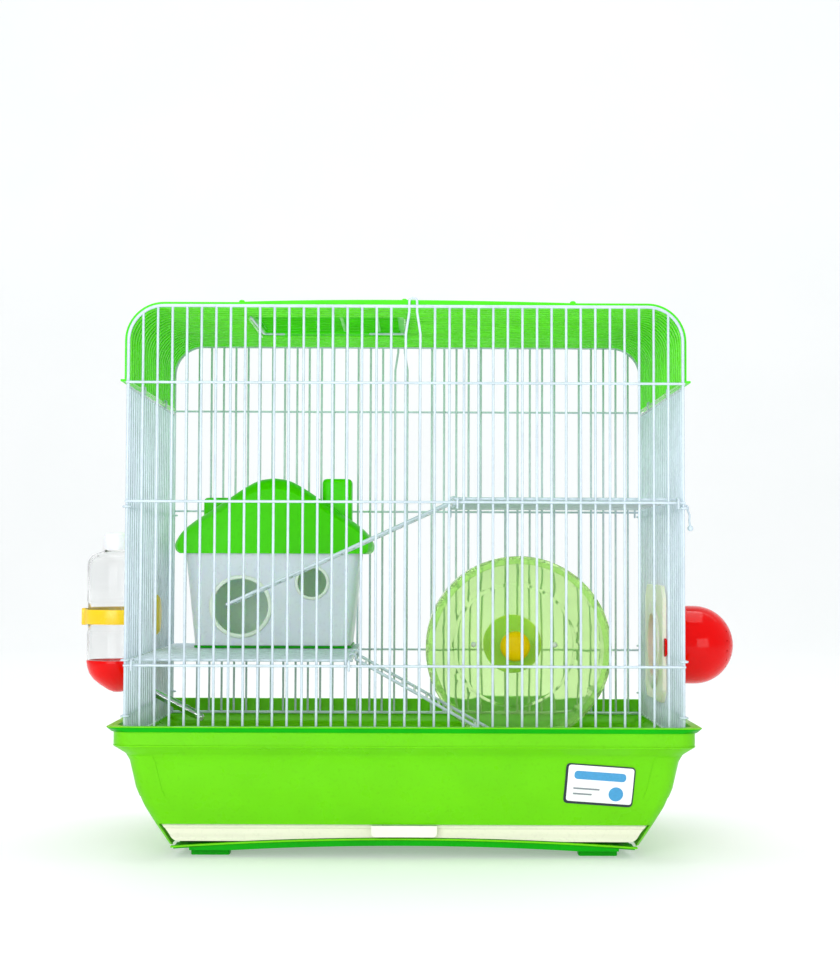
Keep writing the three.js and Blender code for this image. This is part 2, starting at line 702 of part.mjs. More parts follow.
function spoutTube() {
  const { radius, bore } = SPOUT;
  return onSpout(closed([[bore, -18.6], [radius, -18.6], [radius, 38], [bore, 38]]), 12);
}

function spoutBall() {
  const ball = arc(0, 40.2, 2.9, -90, 90, 6);
  return onSpout(ball, 12);
}

// ---- Tunnel port ----

const onPort = (geometry) => geometry.translate(0, 0, PORT.z);

// A plate inside the wires, with a raised ring round its bore and a sleeve that runs out through the doorway.
function sidePlate() {
  const [halfY, bottom, top, corner] = [48.5, 102, 187, 9];
  const [ringFace, inside] = [HALF_WIDTH - 9, HALF_WIDTH - 6.6];
  const [outside, sleeveEnd] = [HALF_WIDTH - 3.6, HALF_WIDTH + 15];
  const outline = polygon([
    [-halfY + corner, bottom],
    [halfY - corner, bottom],
    [halfY, bottom + corner],
    [halfY, top - corner],
    [halfY - corner, top],
    [-halfY + corner, top],
    [-halfY, top - corner],
    [-halfY, bottom + corner],
  ]);
  outline.holes.push(new THREE.Path().absarc(0, PORT.z, PORT.sleeve - 0.8, 0, 2 * Math.PI, true));
  const ringAndSleeve = [
    [PORT.bore, ringFace],
    [PORT.ring, ringFace],
    [PORT.ring, inside + 0.5],
    [PORT.sleeve, inside + 0.5],
    [PORT.sleeve, sleeveEnd],
    [PORT.bore, sleeveEnd],
  ];
  return join([sideShape(outline, inside, outside, 12), onPort(turnedAcross(closed(ringAndSleeve), 24))]);
}

// The lock ring round the sleeve, behind the plate, with a thumb tab that shows past the plate's front edge.
function tunnelCollar() {
  const inner = PORT.sleeve + GAP;
  const [face, back, end] = [HALF_WIDTH - 3.3, HALF_WIDTH - 1.7, HALF_WIDTH + 14];
  const flange = 31;
  const flat = [[inner, face], [flange, face], [flange, back]];
  const tube = [[PORT.collar, back], [PORT.collar, end], [inner, end]];
  const tab = block(face, back, -51.5, -flange + 2, PORT.z - 5.8, PORT.z + 5.8);
  return join([onPort(turnedAcross(closed([...flat, ...tube]), 24)), tab]);
}

function tunnelDome() {
  const { domeRadius, collar } = PORT;
  const inside = collar + GAP;
  const centre = HALF_LENGTH - domeRadius;
  const mouth = HALF_WIDTH + 3.4;
  const outer = [[domeRadius, mouth], ...arc(0, centre, domeRadius, 0, 90, 5)];
  const inner = [...arc(0, centre, inside, 90, 0, 5), [inside, mouth]];
  return onPort(turnedAcross([...inner, ...outer], 24));
}

// ---- Corner hook ----

// A loose wire hook with a ball end that hangs from the upper right rail at the front corner.
function cornerHook() {
  const [x, y, z] = [HALF_WIDTH + RAIL_OFFSET, -HALF_DEPTH + 6, SIDE_RAILS[2]];
  const eye = arc(x, z, 2.4, 200, -40, 9);
  const arm = [[x + 3.6, z - 5], [x + 3.8, z - 12]];
  const knob = turnedUp(arc(0, z - 13.5, 2.2, -90, 90, 5), 10).translate(x + 3.8, y, 0);
  return join([frontShape(wireShape([...eye, ...arm], 1.5), y - 0.75, y + 0.75), knob]);
}

// ---- Assembly ----

add("base_tub", baseTub(), lime);
add("base_stand", baseStand(), limeDark);
add("drawer_tray", drawerTray(), ivory);
add("label", label(), white);

add("front_grille", faceGrille().translate(0, -HALF_DEPTH, 0), whiteWire);
add("back_grille", faceGrille().rotateZ(Math.PI).translate(0, HALF_DEPTH, 0), whiteWire);
add("left_grille", sideGrille(null).rotateZ(Math.PI), whiteWire);
add("right_grille", sideGrille({ halfY: 30, bottom: 113, top: 172 }), whiteWire);
add("roof_grille", roofGrille(), greenWire);
add("roof_cover", roofCover(), coverGreen);
add("roof_hatch", roofHatch(), coverGreen);
add("hatch_pin", hatchPin(), steel);
add("corner_hook", cornerHook(), whiteWire);

add("lower_shelf", shelf(LOWER_SHELF), whiteWire);
add("upper_shelf", shelf(UPPER_SHELF), whiteWire);
add("lower_ladder", lowerLadder(), whiteWire);
add("upper_ladder", upperLadder(), whiteWire);

add("house_floor", houseFloor(), limeDark);
add("house_body", houseBody(), paleGrey);
add("house_roof", houseRoof(), roofGreen);

add("wheel_drum", wheelDrum(), clearGreen);
add("wheel_stand", wheelStand(), yellow);
add("wheel_cap", wheelCap(), yellow);
add("wheel_nut", wheelNut(), yellow);

add("bottle_shell", bottleShell(), clearBottle);
add("bottle_top_cap", bottleTopCap(), white);
add("bottle_band", bottleBand(), yellow);
add("bottle_clamp", bottleClamp(), yellow);
add("spout_cap", spoutCap(), red);
add("spout_tube", spoutTube(), steel);
add("spout_ball", spoutBall(), steel);

add("side_plate", sidePlate(), ivory);
add("tunnel_collar", tunnelCollar(), red);
add("tunnel_dome", tunnelDome(), red);

export default cage;
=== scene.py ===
"""A two-level wire hamster cage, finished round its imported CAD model. Its shapes are in millimetres."""

import math

import bmesh
import bpy
from mathutils import Matrix, Vector


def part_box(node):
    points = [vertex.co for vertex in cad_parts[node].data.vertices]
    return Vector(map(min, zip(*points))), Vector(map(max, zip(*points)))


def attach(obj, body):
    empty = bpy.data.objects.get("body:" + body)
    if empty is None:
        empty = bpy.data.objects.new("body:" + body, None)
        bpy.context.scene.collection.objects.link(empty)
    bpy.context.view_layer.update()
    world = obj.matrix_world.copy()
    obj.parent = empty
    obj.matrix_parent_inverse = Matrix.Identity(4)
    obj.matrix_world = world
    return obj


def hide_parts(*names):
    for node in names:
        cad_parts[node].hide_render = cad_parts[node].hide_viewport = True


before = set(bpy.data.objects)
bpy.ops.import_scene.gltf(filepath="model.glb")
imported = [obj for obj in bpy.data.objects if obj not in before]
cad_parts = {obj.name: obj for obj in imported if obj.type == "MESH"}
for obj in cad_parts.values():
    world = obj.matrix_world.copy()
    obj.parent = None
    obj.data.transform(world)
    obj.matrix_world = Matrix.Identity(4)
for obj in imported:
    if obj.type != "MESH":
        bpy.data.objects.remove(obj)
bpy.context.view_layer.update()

MM = 0.001
scene = bpy.context.scene


def box_mm(node):
    """A CAD node's lowest and highest corners, in millimetres."""
    low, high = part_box(node)
    return low / MM, high / MM


def centre_mm(node):
    """The middle of a CAD node's box."""
    return tuple((low + high) / 2 for low, high in zip(*box_mm(node)))


def half_mm(node):
    """Half of each side of a CAD node's box."""
    return tuple((high - low) / 2 for low, high in zip(*box_mm(node)))


# ---- Sizes, from the frame ----

WIRE = 0.9  # radius of a grille wire
EDGE = 1.1  # radius of the heavier wire round a panel
PITCH = 10.0  # spacing of the grille wires
TOUCH = WIRE * 2 - 0.1  # a rail's centre stands this far out from the uprights that it is welded to

face_low, face_high = box_mm("front_grille")
roof_low, roof_high = box_mm("roof_grille")
cover_low, cover_high = box_mm("roof_cover")
tub_high = box_mm("base_tub")[1]
stand_low, stand_high = box_mm("base_stand")

HALF_WIDTH = face_high.x - EDGE
HALF_DEPTH = EDGE - face_high.y
GRILLE_BOTTOM = face_low.z + EDGE
ROOF_TOP = roof_high.z - EDGE
ROOF_EDGE = roof_low.z + EDGE
ROOF_RADIUS = 24.0
LOOP_TOP = face_high.z - EDGE
FACE_RAILS = (132.4, 244.2, 325.7)
SIDE_RAILS = (98.0, 136.0, 240.5)
SIDE_TOP = 323.0
SIDE_END = HALF_DEPTH - 2.4
HATCH_HOLE = {"left": -113.0, "right": -1.0, "front": -60.0, "back": 50.0}
DOORWAY = {"half_y": 30.0, "bottom": 113.0, "top": 172.0}
COVER_TOP = ROOF_TOP + 2.8
LADDER_LENGTH = 176.0
BOTTLE_AXIS = (*centre_mm("bottle_shell")[:2], 0)


# ---- Shapes ----

ALONG_X, ALONG_Y, ALONG_Z = (1, 0, 0), (0, 1, 0), (0, 0, 1)
TIP = 0.001  # a turned body narrows to this radius at its ends


class Shape:
    """Points in millimetres, and the faces between them."""

    def __init__(self, points, faces):
        self.points = [Vector(point) for point in points]
        self.faces = list(faces)

    def under(self, matrix):
        return Shape([matrix @ point for point in self.points], self.faces)


def together(shapes):
    points, faces = [], []
    for shape in shapes:
        start = len(points)
        points += shape.points
        faces += [tuple(start + i for i in face) for face in shape.faces]
    return Shape(points, faces)


def loft(rings, wrap=False):
    """Skins closed rings with the same number of points. With wrap, the last ring joins the first again."""
    count = len(rings[0])
    faces = []
    for i in range(len(rings) if wrap else len(rings) - 1):
        lower = i * count
        upper = (i + 1) % len(rings) * count
        for j in range(count):
            k = (j + 1) % count
            faces.append((lower + j, lower + k, upper + k, upper + j))
    if not wrap:
        last = (len(rings) - 1) * count
        faces.append(tuple(range(count)))
        faces.append(tuple(last + j for j in range(count)))
    return Shape([point for ring in rings for point in ring], faces)


def fillet(points, reach, steps=4, closed=False):
    """Rounds each corner of a line of points, from up to reach before it to reach after it."""
    corners = [Vector(point) for point in points]
    made = []
    for i, corner in enumerate(corners):
        if not closed and i in (0, len(corners) - 1):
            made.append(corner)
            continue
        before = corners[i - 1] - corner
        after = corners[(i + 1) % len(corners)] - corner
        size = min(reach, before.length * 0.48, after.length * 0.48)
        start = corner + before.normalized() * size
        end = corner + after.normalized() * size
        for step in range(steps + 1):
            t = step / steps
            made.append(start * (1 - t) ** 2 + corner * (2 * t * (1 - t)) + end * t ** 2)
    return made


def arc(x, y, radius, start, end, steps):
    """Points of an arc in a plane, in degrees."""
    angles = [math.radians(start + (end - start) * i / steps) for i in range(steps + 1)]
    return [(x + radius * math.cos(a), y + radius * math.sin(a)) for a in angles]


def stations(start, end, step=PITCH):
    return [start + i * step for i in range(round((end - start) / step) + 1)]


def places(start, end, count):
    """Evenly spaced numbers from start to end, with count steps between them."""
    return [start + (end - start) * i / count for i in range(count + 1)]


def turns(count):
    """Evenly spaced angles round a full turn."""
    return [2 * math.pi * i / count for i in range(count)]


def wire(path, radius=WIRE, sides=10):
    """A round wire with domed ends along a line of points."""
    points = [Vector(point) for point in path]
    tangents = []
    for i in range(len(points)):
        ahead = points[min(i + 1, len(points) - 1)] - points[max(i - 1, 0)]
        tangents.append(ahead.normalized())
    side = tangents[0].orthogonal().normalized()
    sides_of = []
    for tangent in tangents:
        side = (side - tangent * side.dot(tangent)).normalized()
        sides_of.append(side.copy())
    domes = ((0.87, 0.5), (0.5, 0.87))
    stops = [(points[0] - tangents[0] * radius * out, 0, scale) for out, scale in domes]
    stops += [(point, i, 1.0) for i, point in enumerate(points)]
    stops += [(points[-1] + tangents[-1] * radius * out, -1, scale) for out, scale in reversed(domes)]
    rings = []
    for centre, i, scale in stops:
        across = sides_of[i]
        up = tangents[i].cross(across)
        spokes = [(across * math.cos(a) + up * math.sin(a)) * radius for a in turns(sides)]
        rings.append([centre + spoke * scale for spoke in spokes])
    return loft(rings)


def frame_wire(path):
    """The heavier wire round a panel."""
    return wire(path, EDGE, 12)


def loop_wire(path, radius=WIRE, sides=10):
    """A round wire along a closed, flat line of points."""
    points = [Vector(point) for point in path]
    normal = (points[1] - points[0]).cross(points[2] - points[1]).normalized()
    rings = []
    for i, point in enumerate(points):
        tangent = (points[(i + 1) % len(points)] - points[i - 1]).normalized()
        across = tangent.cross(normal)
        rings.append([point + (across * math.cos(a) + normal * math.sin(a)) * radius for a in turns(sides)])
    return loft(rings, wrap=True)


def lathe(profile, segments=72, wrap=False):
    """A body turned about +Z from [radius, height] points."""
    rings = []
    for radius, z in profile:
        r = max(radius, TIP)
        rings.append([(r * math.cos(a), r * math.sin(a), z) for a in turns(segments)])
    return loft(rings, wrap)


def aimed(shape, direction, centre):
    """Turns a shape made about +Z to a direction, and moves its origin to centre."""
    spin = Vector(direction).to_track_quat("Z", "Y").to_matrix().to_4x4()
    return shape.under(Matrix.Translation(Vector(centre)) @ spin)


def turned(profile, axis, centre, segments=72, wrap=False):
    """A body turned about an axis through centre."""
    return aimed(lathe(profile, segments, wrap), axis, centre)


def bead(centre, radius):
    """A small round lump of coating where two wires are welded."""
    return turned(arc(0, 0, radius, -90, 90, 4), ALONG_Z, centre, 6)


def level(z, half_x, half_y, radius, centre=(0, 0), steps=8):
    """A level rounded rectangle, anticlockwise from above."""
    made = []
    for side_x, side_y, start in ((1, 1, 0), (-1, 1, 90), (-1, -1, 180), (1, -1, 270)):
        x = centre[0] + side_x * (half_x - radius)
        y = centre[1] + side_y * (half_y - radius)
        made += [(px, py, z) for px, py in arc(x, y, radius, start, start + 90, steps)]
    return made


def slab(outline, axis, low, high):
    """A flat outline given a thickness from low to high along an axis."""
    places = {
        "X": lambda a, b, at: (at, a, b),
        "Y": lambda a, b, at: (a, at, b),
        "Z": lambda a, b, at: (a, b, at),
    }
    place = places[axis]
    return loft([[place(p[0], p[1], at) for p in outline] for at in (low, high)])


def block(low, high):
    (x0, y0, z0), (x1, y1, z1) = low, high
    return slab([(x0, y0), (x1, y0), (x1, y1), (x0, y1)], "Z", z0, z1)


def rounded_block(low, high, reach=1.5, axis="Z"):
    """A block whose four edges along an axis are rounded."""
    a, b, along = {"X": (1, 2, 0), "Y": (0, 2, 1), "Z": (0, 1, 2)}[axis]
    corners = [(low[a], low[b]), (high[a], low[b]), (high[a], high[b]), (low[a], high[b])]
    return slab(fillet(corners, reach, 5, closed=True), axis, low[along], high[along])


# ---- Pieces ----

def bare_object(name, shape):
    mesh = bpy.data.meshes.new(name)
    mesh.from_pydata([point * MM for point in shape.points], [], shape.faces)
    edit = bmesh.new()
    edit.from_mesh(mesh)
    bmesh.ops.remove_doubles(edit, verts=edit.verts, dist=2e-6)
    bmesh.ops.recalc_face_normals(edit, faces=edit.faces)
    edit.to_mesh(mesh)
    edit.free()
    made = bpy.data.objects.new(name, mesh)
    scene.collection.objects.link(made)
    return made


def combine(target, shapes, operation):
    """Cuts closed shapes out of an object, adds them to it, or keeps what they share with it."""
    cutters = [bare_object("cutter", shape) for shape in shapes]
    for cutter in cutters:
        modifier = target.modifiers.new("combine", "BOOLEAN")
        modifier.operation = operation
        modifier.solver = "EXACT"
        modifier.object = cutter
    graph = bpy.context.evaluated_depsgraph_get()
    result = bpy.data.meshes.new_from_object(target.evaluated_get(graph))
    target.modifiers.clear()
    target.data = result
    for cutter in cutters:
        bpy.data.objects.remove(cutter)


def piece(name, shape, material, body, nodes=(), cuts=(), adds=(), within=None, smooth=46,
          bevel=0.0):
    """Makes one visible piece from a shape, with what is cut out of it and joined to it."""
    made = bare_object(name, shape)
    if adds:
        combine(made, adds, "UNION")
    if cuts:
        combine(made, cuts, "DIFFERENCE")
    if within:
        combine(made, [within], "INTERSECT")
    made.data.materials.clear()
    made.data.materials.append(material)
    made.data.shade_smooth()
    made.data.set_sharp_from_angle(angle=math.radians(smooth))
    if bevel:
        modifier = made.modifiers.new("soft_edges", "BEVEL")
        modifier.width = bevel * MM
        modifier.segments = 3
        modifier.limit_method = "ANGLE"
        modifier.angle_limit = math.radians(smooth)
        modifier.harden_normals = True
    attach(made, body)
    if nodes:
        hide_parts(*nodes)


# ---- Materials ----

def srgb(red, green, blue):
    """An 8-bit sRGB colour as linear light."""
    def linear(value):
        share = value / 255
        return share / 12.92 if share <= 0.04045 else ((share + 0.055) / 1.055) ** 2.4
    return (linear(red), linear(green), linear(blue), 1.0)


def scaled(colour, factor):
    return tuple(min(channel * factor, 1.0) for channel in colour[:3]) + (1.0,)


class Surface:
    """A material in the making: its nodes, and the inputs of its main shader."""

    def __init__(self, name):
        self.material = bpy.data.materials.new(name)
        self.material.use_nodes = True
        self.nodes = self.material.node_tree.nodes
        self.links = self.material.node_tree.links
        self.shader = self.nodes["Principled BSDF"]

    def feed(self, name, socket):
        self.links.new(socket, self.shader.inputs[name])

    def noise(self, scale, detail=3.0, stretch=(1, 1, 1)):
        """A noise texture fixed to the object, stretched along its axes."""
        place = self.nodes.new("ShaderNodeTexCoord")
        mapping = self.nodes.new("ShaderNodeMapping")
        mapping.inputs["Scale"].default_value = stretch
        texture = self.nodes.new("ShaderNodeTexNoise")
        texture.inputs["Scale"].default_value = scale
        texture.inputs["Detail"].default_value = detail
        self.links.new(place.outputs["Object"], mapping.inputs["Vector"])
        self.links.new(mapping.outputs["Vector"], texture.inputs["Vector"])
        return texture.outputs["Fac"]

    def spread(self, source, low=0.0, high=1.0, lowest=0.35, highest=0.65):
        """Maps a texture's usual range to low..high."""
        ranged = self.nodes.new("ShaderNodeMapRange")
        ranged.inputs["From Min"].default_value = lowest
        ranged.inputs["From Max"].default_value = highest
        ranged.inputs["To Min"].default_value = low
        ranged.inputs["To Max"].default_value = high
        self.links.new(source, ranged.inputs["Value"])
        return ranged.outputs["Result"]

    def mixed(self, factor, first, second):
        """A mix of two colours, or colour sockets, by a factor socket."""
        mix = self.nodes.new("ShaderNodeMix")
        mix.data_type = "RGBA"
        self.links.new(factor, mix.inputs["Factor"])
        for socket, value in ((mix.inputs["A"], first), (mix.inputs["B"], second)):
            if isinstance(value, tuple):
                socket.default_value = value
            else:
                self.links.new(value, socket)
        return mix.outputs["Result"]

    def colour_by(self, source, first, second):
        """Colours the surface between two colours by a texture."""
        self.feed("Base Color", self.mixed(self.spread(source), first, second))

    def bumps(self, *layers):
        """Stacks bump layers of (socket, strength, distance in metres)."""
        normal = None
        for socket, strength, distance in layers:
            bump = self.nodes.new("ShaderNodeBump")
            bump.inputs["Strength"].default_value = strength
            bump.inputs["Distance"].default_value = distance
            self.links.new(socket, bump.inputs["Height"])
            if normal:
                self.links.new(normal, bump.inputs["Normal"])
            normal = bump.outputs["Normal"]
        self.feed("Normal", normal)


def moulded(name, colour, roughness, drift=0.12, grain=0.25, glow=0.0, depth=0.004, shine=0.5):
    """Moulded plastic: cloudy pigment, uneven gloss, a fine skin and slow sink marks."""
    surface = Surface(name)
    clouds = surface.spread(surface.noise(22))
    colours = surface.mixed(clouds, scaled(colour, 1 - drift), scaled(colour, 1 + drift / 2))
    specks = surface.spread(surface.noise(420, 2), 0.0, 0.35, 0.55, 0.75)
    surface.feed("Base Color", surface.mixed(specks, colours, scaled(colour, 0.8)))
    surface.feed("Roughness", surface.spread(surface.noise(60, 4), roughness - 0.06, roughness + 0.1))
    shader = surface.shader
    shader.inputs["IOR"].default_value = 1.49
    shader.inputs["Specular IOR Level"].default_value = shine
    if glow:
        shader.inputs["Subsurface Weight"].default_value = glow
        shader.inputs["Subsurface Radius"].default_value = (0.6, 1.0, 0.4)
        shader.inputs["Subsurface Scale"].default_value = depth
    skin = (surface.noise(1100, 2), grain, 0.00008)
    sink_marks = (surface.noise(14, 1), 0.25, 0.0012)
    surface.bumps(skin, sink_marks)
    return surface.material


def coated_wire(name, colour=(0.6, 0.7, 0.78, 1.0)):
    """Glossy epoxy on steel wire, with the slow lumps of a dipped coat."""
    surface = Surface(name)
    surface.colour_by(surface.noise(45), scaled(colour, 0.93), scaled(colour, 1.05))
    surface.feed("Roughness", surface.spread(surface.noise(160), 0.2, 0.36))
    surface.shader.inputs["Coat Weight"].default_value = 0.35
    surface.shader.inputs["Coat Roughness"].default_value = 0.12
    surface.bumps((surface.noise(260, 2), 0.3, 0.0002))
    return surface.material


def clear(name, colour, through, roughness, ior, ripple):
    """Clear plastic with faint flow streaks and a slightly uneven gloss."""
    surface = Surface(name)
    flow = surface.noise(35, 3, (1, 1, 0.3))
    surface.colour_by(flow, scaled(colour, 0.93), scaled(colour, 1.04))
    surface.feed("Roughness", surface.spread(surface.noise(80), roughness, roughness + 0.08))
    surface.shader.inputs["IOR"].default_value = ior
    surface.shader.inputs["Transmission Weight"].default_value = through
    surface.bumps((surface.noise(90, 2), ripple, 0.0006))
    return surface.material


def bright_steel(name):
    """Polished stainless steel with fine drawing lines."""
    surface = Surface(name)
    surface.shader.inputs["Metallic"].default_value = 1.0
    lines = surface.noise(300, 2, (0.2, 3, 3))
    surface.colour_by(lines, (0.62, 0.63, 0.66, 1), (0.8, 0.81, 0.83, 1))
    surface.feed("Roughness", surface.spread(lines, 0.1, 0.24))
    surface.bumps((lines, 0.1, 0.0001))
    return surface.material


lime = moulded("lime_plastic", srgb(108, 207, 0), 0.32, drift=0.05, glow=0.15, shine=0.2)
# The lime painted darker, as painted shade on the downward face of the tub's lip.
lip_shade_lime = moulded("painted_lip_shade_plastic", srgb(0, 172, 0), 0.34, shine=0.15)
# The lime plastic painted darker, as painted shade: the stand under the tub wears it, and the house base
# uses it as well.
shaded_lime = moulded("dark_lime_plastic", srgb(0, 164, 0), 0.36, glow=0.1, shine=0.12)
ivory = moulded("ivory_plastic", srgb(229, 228, 207), 0.34, drift=0.04, shine=0.3)
# The drawer's ivory painted lighter for the handle, as a painted highlight where it juts forward into the
# light.
lit_ivory = moulded("handle_lit_ivory_plastic", srgb(242, 241, 228), 0.3, drift=0.03)
cover_green = moulded("cover_plastic", srgb(78, 232, 0), 0.4, drift=0.08, glow=0.4, shine=0.25)
roof_green = moulded("house_roof_plastic", srgb(76, 218, 0), 0.36, drift=0.08, glow=0.3, shine=0.15)
house_grey = moulded("house_plastic", srgb(222, 244, 244), 0.36, 0.03, grain=0.12, glow=0.6, depth=0.008)
rim_grey = moulded("house_rim_plastic", srgb(226, 240, 228), 0.32, drift=0.04, glow=0.2)
yellow = moulded("yellow_plastic", srgb(255, 208, 0), 0.3, drift=0.08, glow=0.2)
# The wheel bracket's and axle cap's own yellows are painted brighter, as painted light, because the clear
# wheel in front of them blocks the lamps.
lit_bracket_yellow = moulded("bracket_lit_plastic", srgb(250, 255, 0), 0.3, drift=0.06, glow=0.4, shine=0.1)
lit_hub_yellow = moulded("hub_lit_plastic", srgb(255, 210, 0), 0.26, drift=0.06, glow=0.3, shine=0.1)
red = moulded("red_plastic", srgb(238, 0, 0), 0.08, drift=0.08, grain=0.06, shine=0.2)
cream = moulded("cream_plastic", srgb(250, 250, 226), 0.34, drift=0.05, glow=0.5, depth=0.006)
white_cap = moulded("white_plastic", srgb(246, 248, 248), 0.3, drift=0.04, glow=0.2)
white_wire = coated_wire("white_wire")
green_wire = coated_wire("green_wire", srgb(112, 248, 14))
wheel_clear = clear("wheel_plastic", srgb(220, 255, 180), 0.84, 0.12, 1.1, 0.12)
bottle_clear = clear("bottle_plastic", srgb(255, 255, 255), 0.97, 0.03, 1.2, 0.08)
steel = bright_steel("steel")


# ---- Tub, stand and tray ----

TUB_OUTER = (
    (163, 7.5), (172, 23), (179, 36), (183.8, 48.7), (187.7, 67.5), (190, 72), (198, 78),
    (198, 88), (199.2, 88), (200.6, 91.1), (201, 91.3), (201, 92),
)
TUB_INNER = (
    (195.6, 92), (195.6, 79.5), (188, 74), (185.4, 67.5), (181.6, 49), (176.8, 36.5), (169.8, 23.5),
    (161, 7.5),
)
LEDGE = ((197.3, 79.4), (198.2, 79.0), (198.2, 78.3), (197.3, 77.4), (196.1, 77.4), (196.1, 79.4))
# A thin strip over the lip's sloping face, coloured as painted shade under the lip's bright top edge.
LIP_SHADE_STRIP = ((199.4, 88.1), (200.9, 91.2), (200.4, 91.2), (198.9, 88.1))
TRAY_MOUTH = ((-159, 5), (159, 5), (169.2, 23), (-169.2, 23))
FACIA_HALF = 168.3
DEPTH_LESS = tub_high.x - tub_high.y  # the tub's half depth is this much less than its half width


def tub_half_width(z):
    """The tub's outer half width at a height."""
    for (low_x, low_z), (high_x, high_z) in zip(TUB_OUTER, TUB_OUTER[1:]):
        if low_z <= z <= high_z and high_z > low_z:
            return low_x + (high_x - low_x) * (z - low_z) / (high_z - low_z)
    return TUB_OUTER[0][0]


def tub_level(half_x, z):
    """The tub's outline at a height. Its lip has sharper corners than the wall below it."""
    over = max(half_x - 199.6, 0) / (tub_high.x - 199.6)
    radius = (14 - (tub_high.x - half_x) / 5) * (1 - over) + 4.5 * over
    return level(z, half_x, half_x - DEPTH_LESS, radius, steps=12)


def corner_pad(side_x, side_y):
    """A barely raised panel that wraps one corner of the tub."""
    rings = []
    for z in (42.5, 45, 48.7, 55, 62, 67.5, 71.5):
        half = tub_half_width(z)
        rows = []
        for grow in (0.4, -0.8):
            hx = half + grow
            hy = hx - DEPTH_LESS
            radius = 14 - (tub_high.x - half) / 5 + grow
            corner = arc(hx - radius, hy - radius, radius, 90, 0, 10)
            rows.append([(half - 18.5, hy), *corner, (hx, hy - 17)])
        outline = rows[0] + rows[1][::-1]
        rings.append([(side_x * x, side_y * y, z) for x, y in outline])
    return loft(rings)


def make_tub():
    walls = fillet(TUB_OUTER, 2.2) + fillet(TUB_INNER, 2.0)
    shell = loft([tub_level(*corner) for corner in walls], wrap=True)
    mouth = slab(TRAY_MOUTH, "Y", -116, -86)
    pads = [corner_pad(x, y) for x in (-1, 1) for y in (-1, 1)]
    piece("tub", shell, lime, "base", ["base_tub"], cuts=[mouth], adds=pads, bevel=0.3)
    # The ledge is plain lime; the lip strip carries the painted shade.
    for name, line, material in (("tub_ledge", LEDGE, lime), ("tub_lip_shade_strip", LIP_SHADE_STRIP, lip_shade_lime)):
        piece(name, loft([tub_level(x, z) for x, z in line], wrap=True), material, "base")


LIP_HALF = 160.8
FOOT_INSIDE, FOOT_OUTSIDE = 121, 148


def crown_at(x):
    """The height of the stand's arched upper edge."""
    return stand_high.z - (stand_high.z - 7.7) * (x / LIP_HALF) ** 2


def arch_band(across, drop_low, drop_high, y0, y1):
    """A band that follows the stand's arch over a row of places, between two drops below it."""
    upper = [(x, crown_at(x) - drop_high) for x in across]
    lower = [(x, crown_at(x) - drop_low) for x in reversed(across)]
    return slab(lower + upper, "Y", y0, y1)


def stand_skirt(half_x, y0, y1):
    """A skirt under the arch, cut away in a shallow curve between the feet."""
    across = places(-half_x, half_x, 32)
    upper = [(x, crown_at(x) - 0.6) for x in reversed(across)]
    lower = [(x, 4.6 + 3.4 * max(1 - (x / FOOT_INSIDE) ** 2, 0)) for x in across]
    return slab(lower + upper, "Y", y0, y1)


def make_stand():
    front, back = stand_low.y, stand_high.y
    shapes = [arch_band(places(-157, 157, 32), 2.0, 0.0, front + 1, back - 1)]
    shapes += [stand_skirt(148, front + 1.0, front + 3.2), stand_skirt(156, back - 2.6, back)]
    for side in (-1, 1):
        x0, x1 = sorted((side * FOOT_INSIDE, side * FOOT_OUTSIDE))
        for y0, y1 in ((front + 11, front + 24), (back - 24, back - 0.4)):
            shapes.append(rounded_block((x0, y0, 0.0), (x1, y1, 8.0), 2.5))
        beside_tray = places(side * 140, side * 159, 4)
        shapes.append(arch_band(beside_tray, 2.2, 0.8, front + 1, front + 22))
    for x in stations(-100, 100, 25):
        rib_low = (x - 0.8, front + 2, crown_at(x) - 5)
        shapes.append(block(rib_low, (x + 0.8, back - 2, crown_at(x) - 1)))
    # The stand is painted in the darker lime as shade beneath the tub; its lip keeps the plain lime where
    # the light catches it.
    piece("stand", together(shapes), shaded_lime, "base", ["base_stand"], bevel=0.4)
    lip = arch_band(places(-LIP_HALF, LIP_HALF, 32), 1.3, 0.0, front, front + 3.4)
    piece("stand_lip", lip, lime, "base", bevel=0.4)


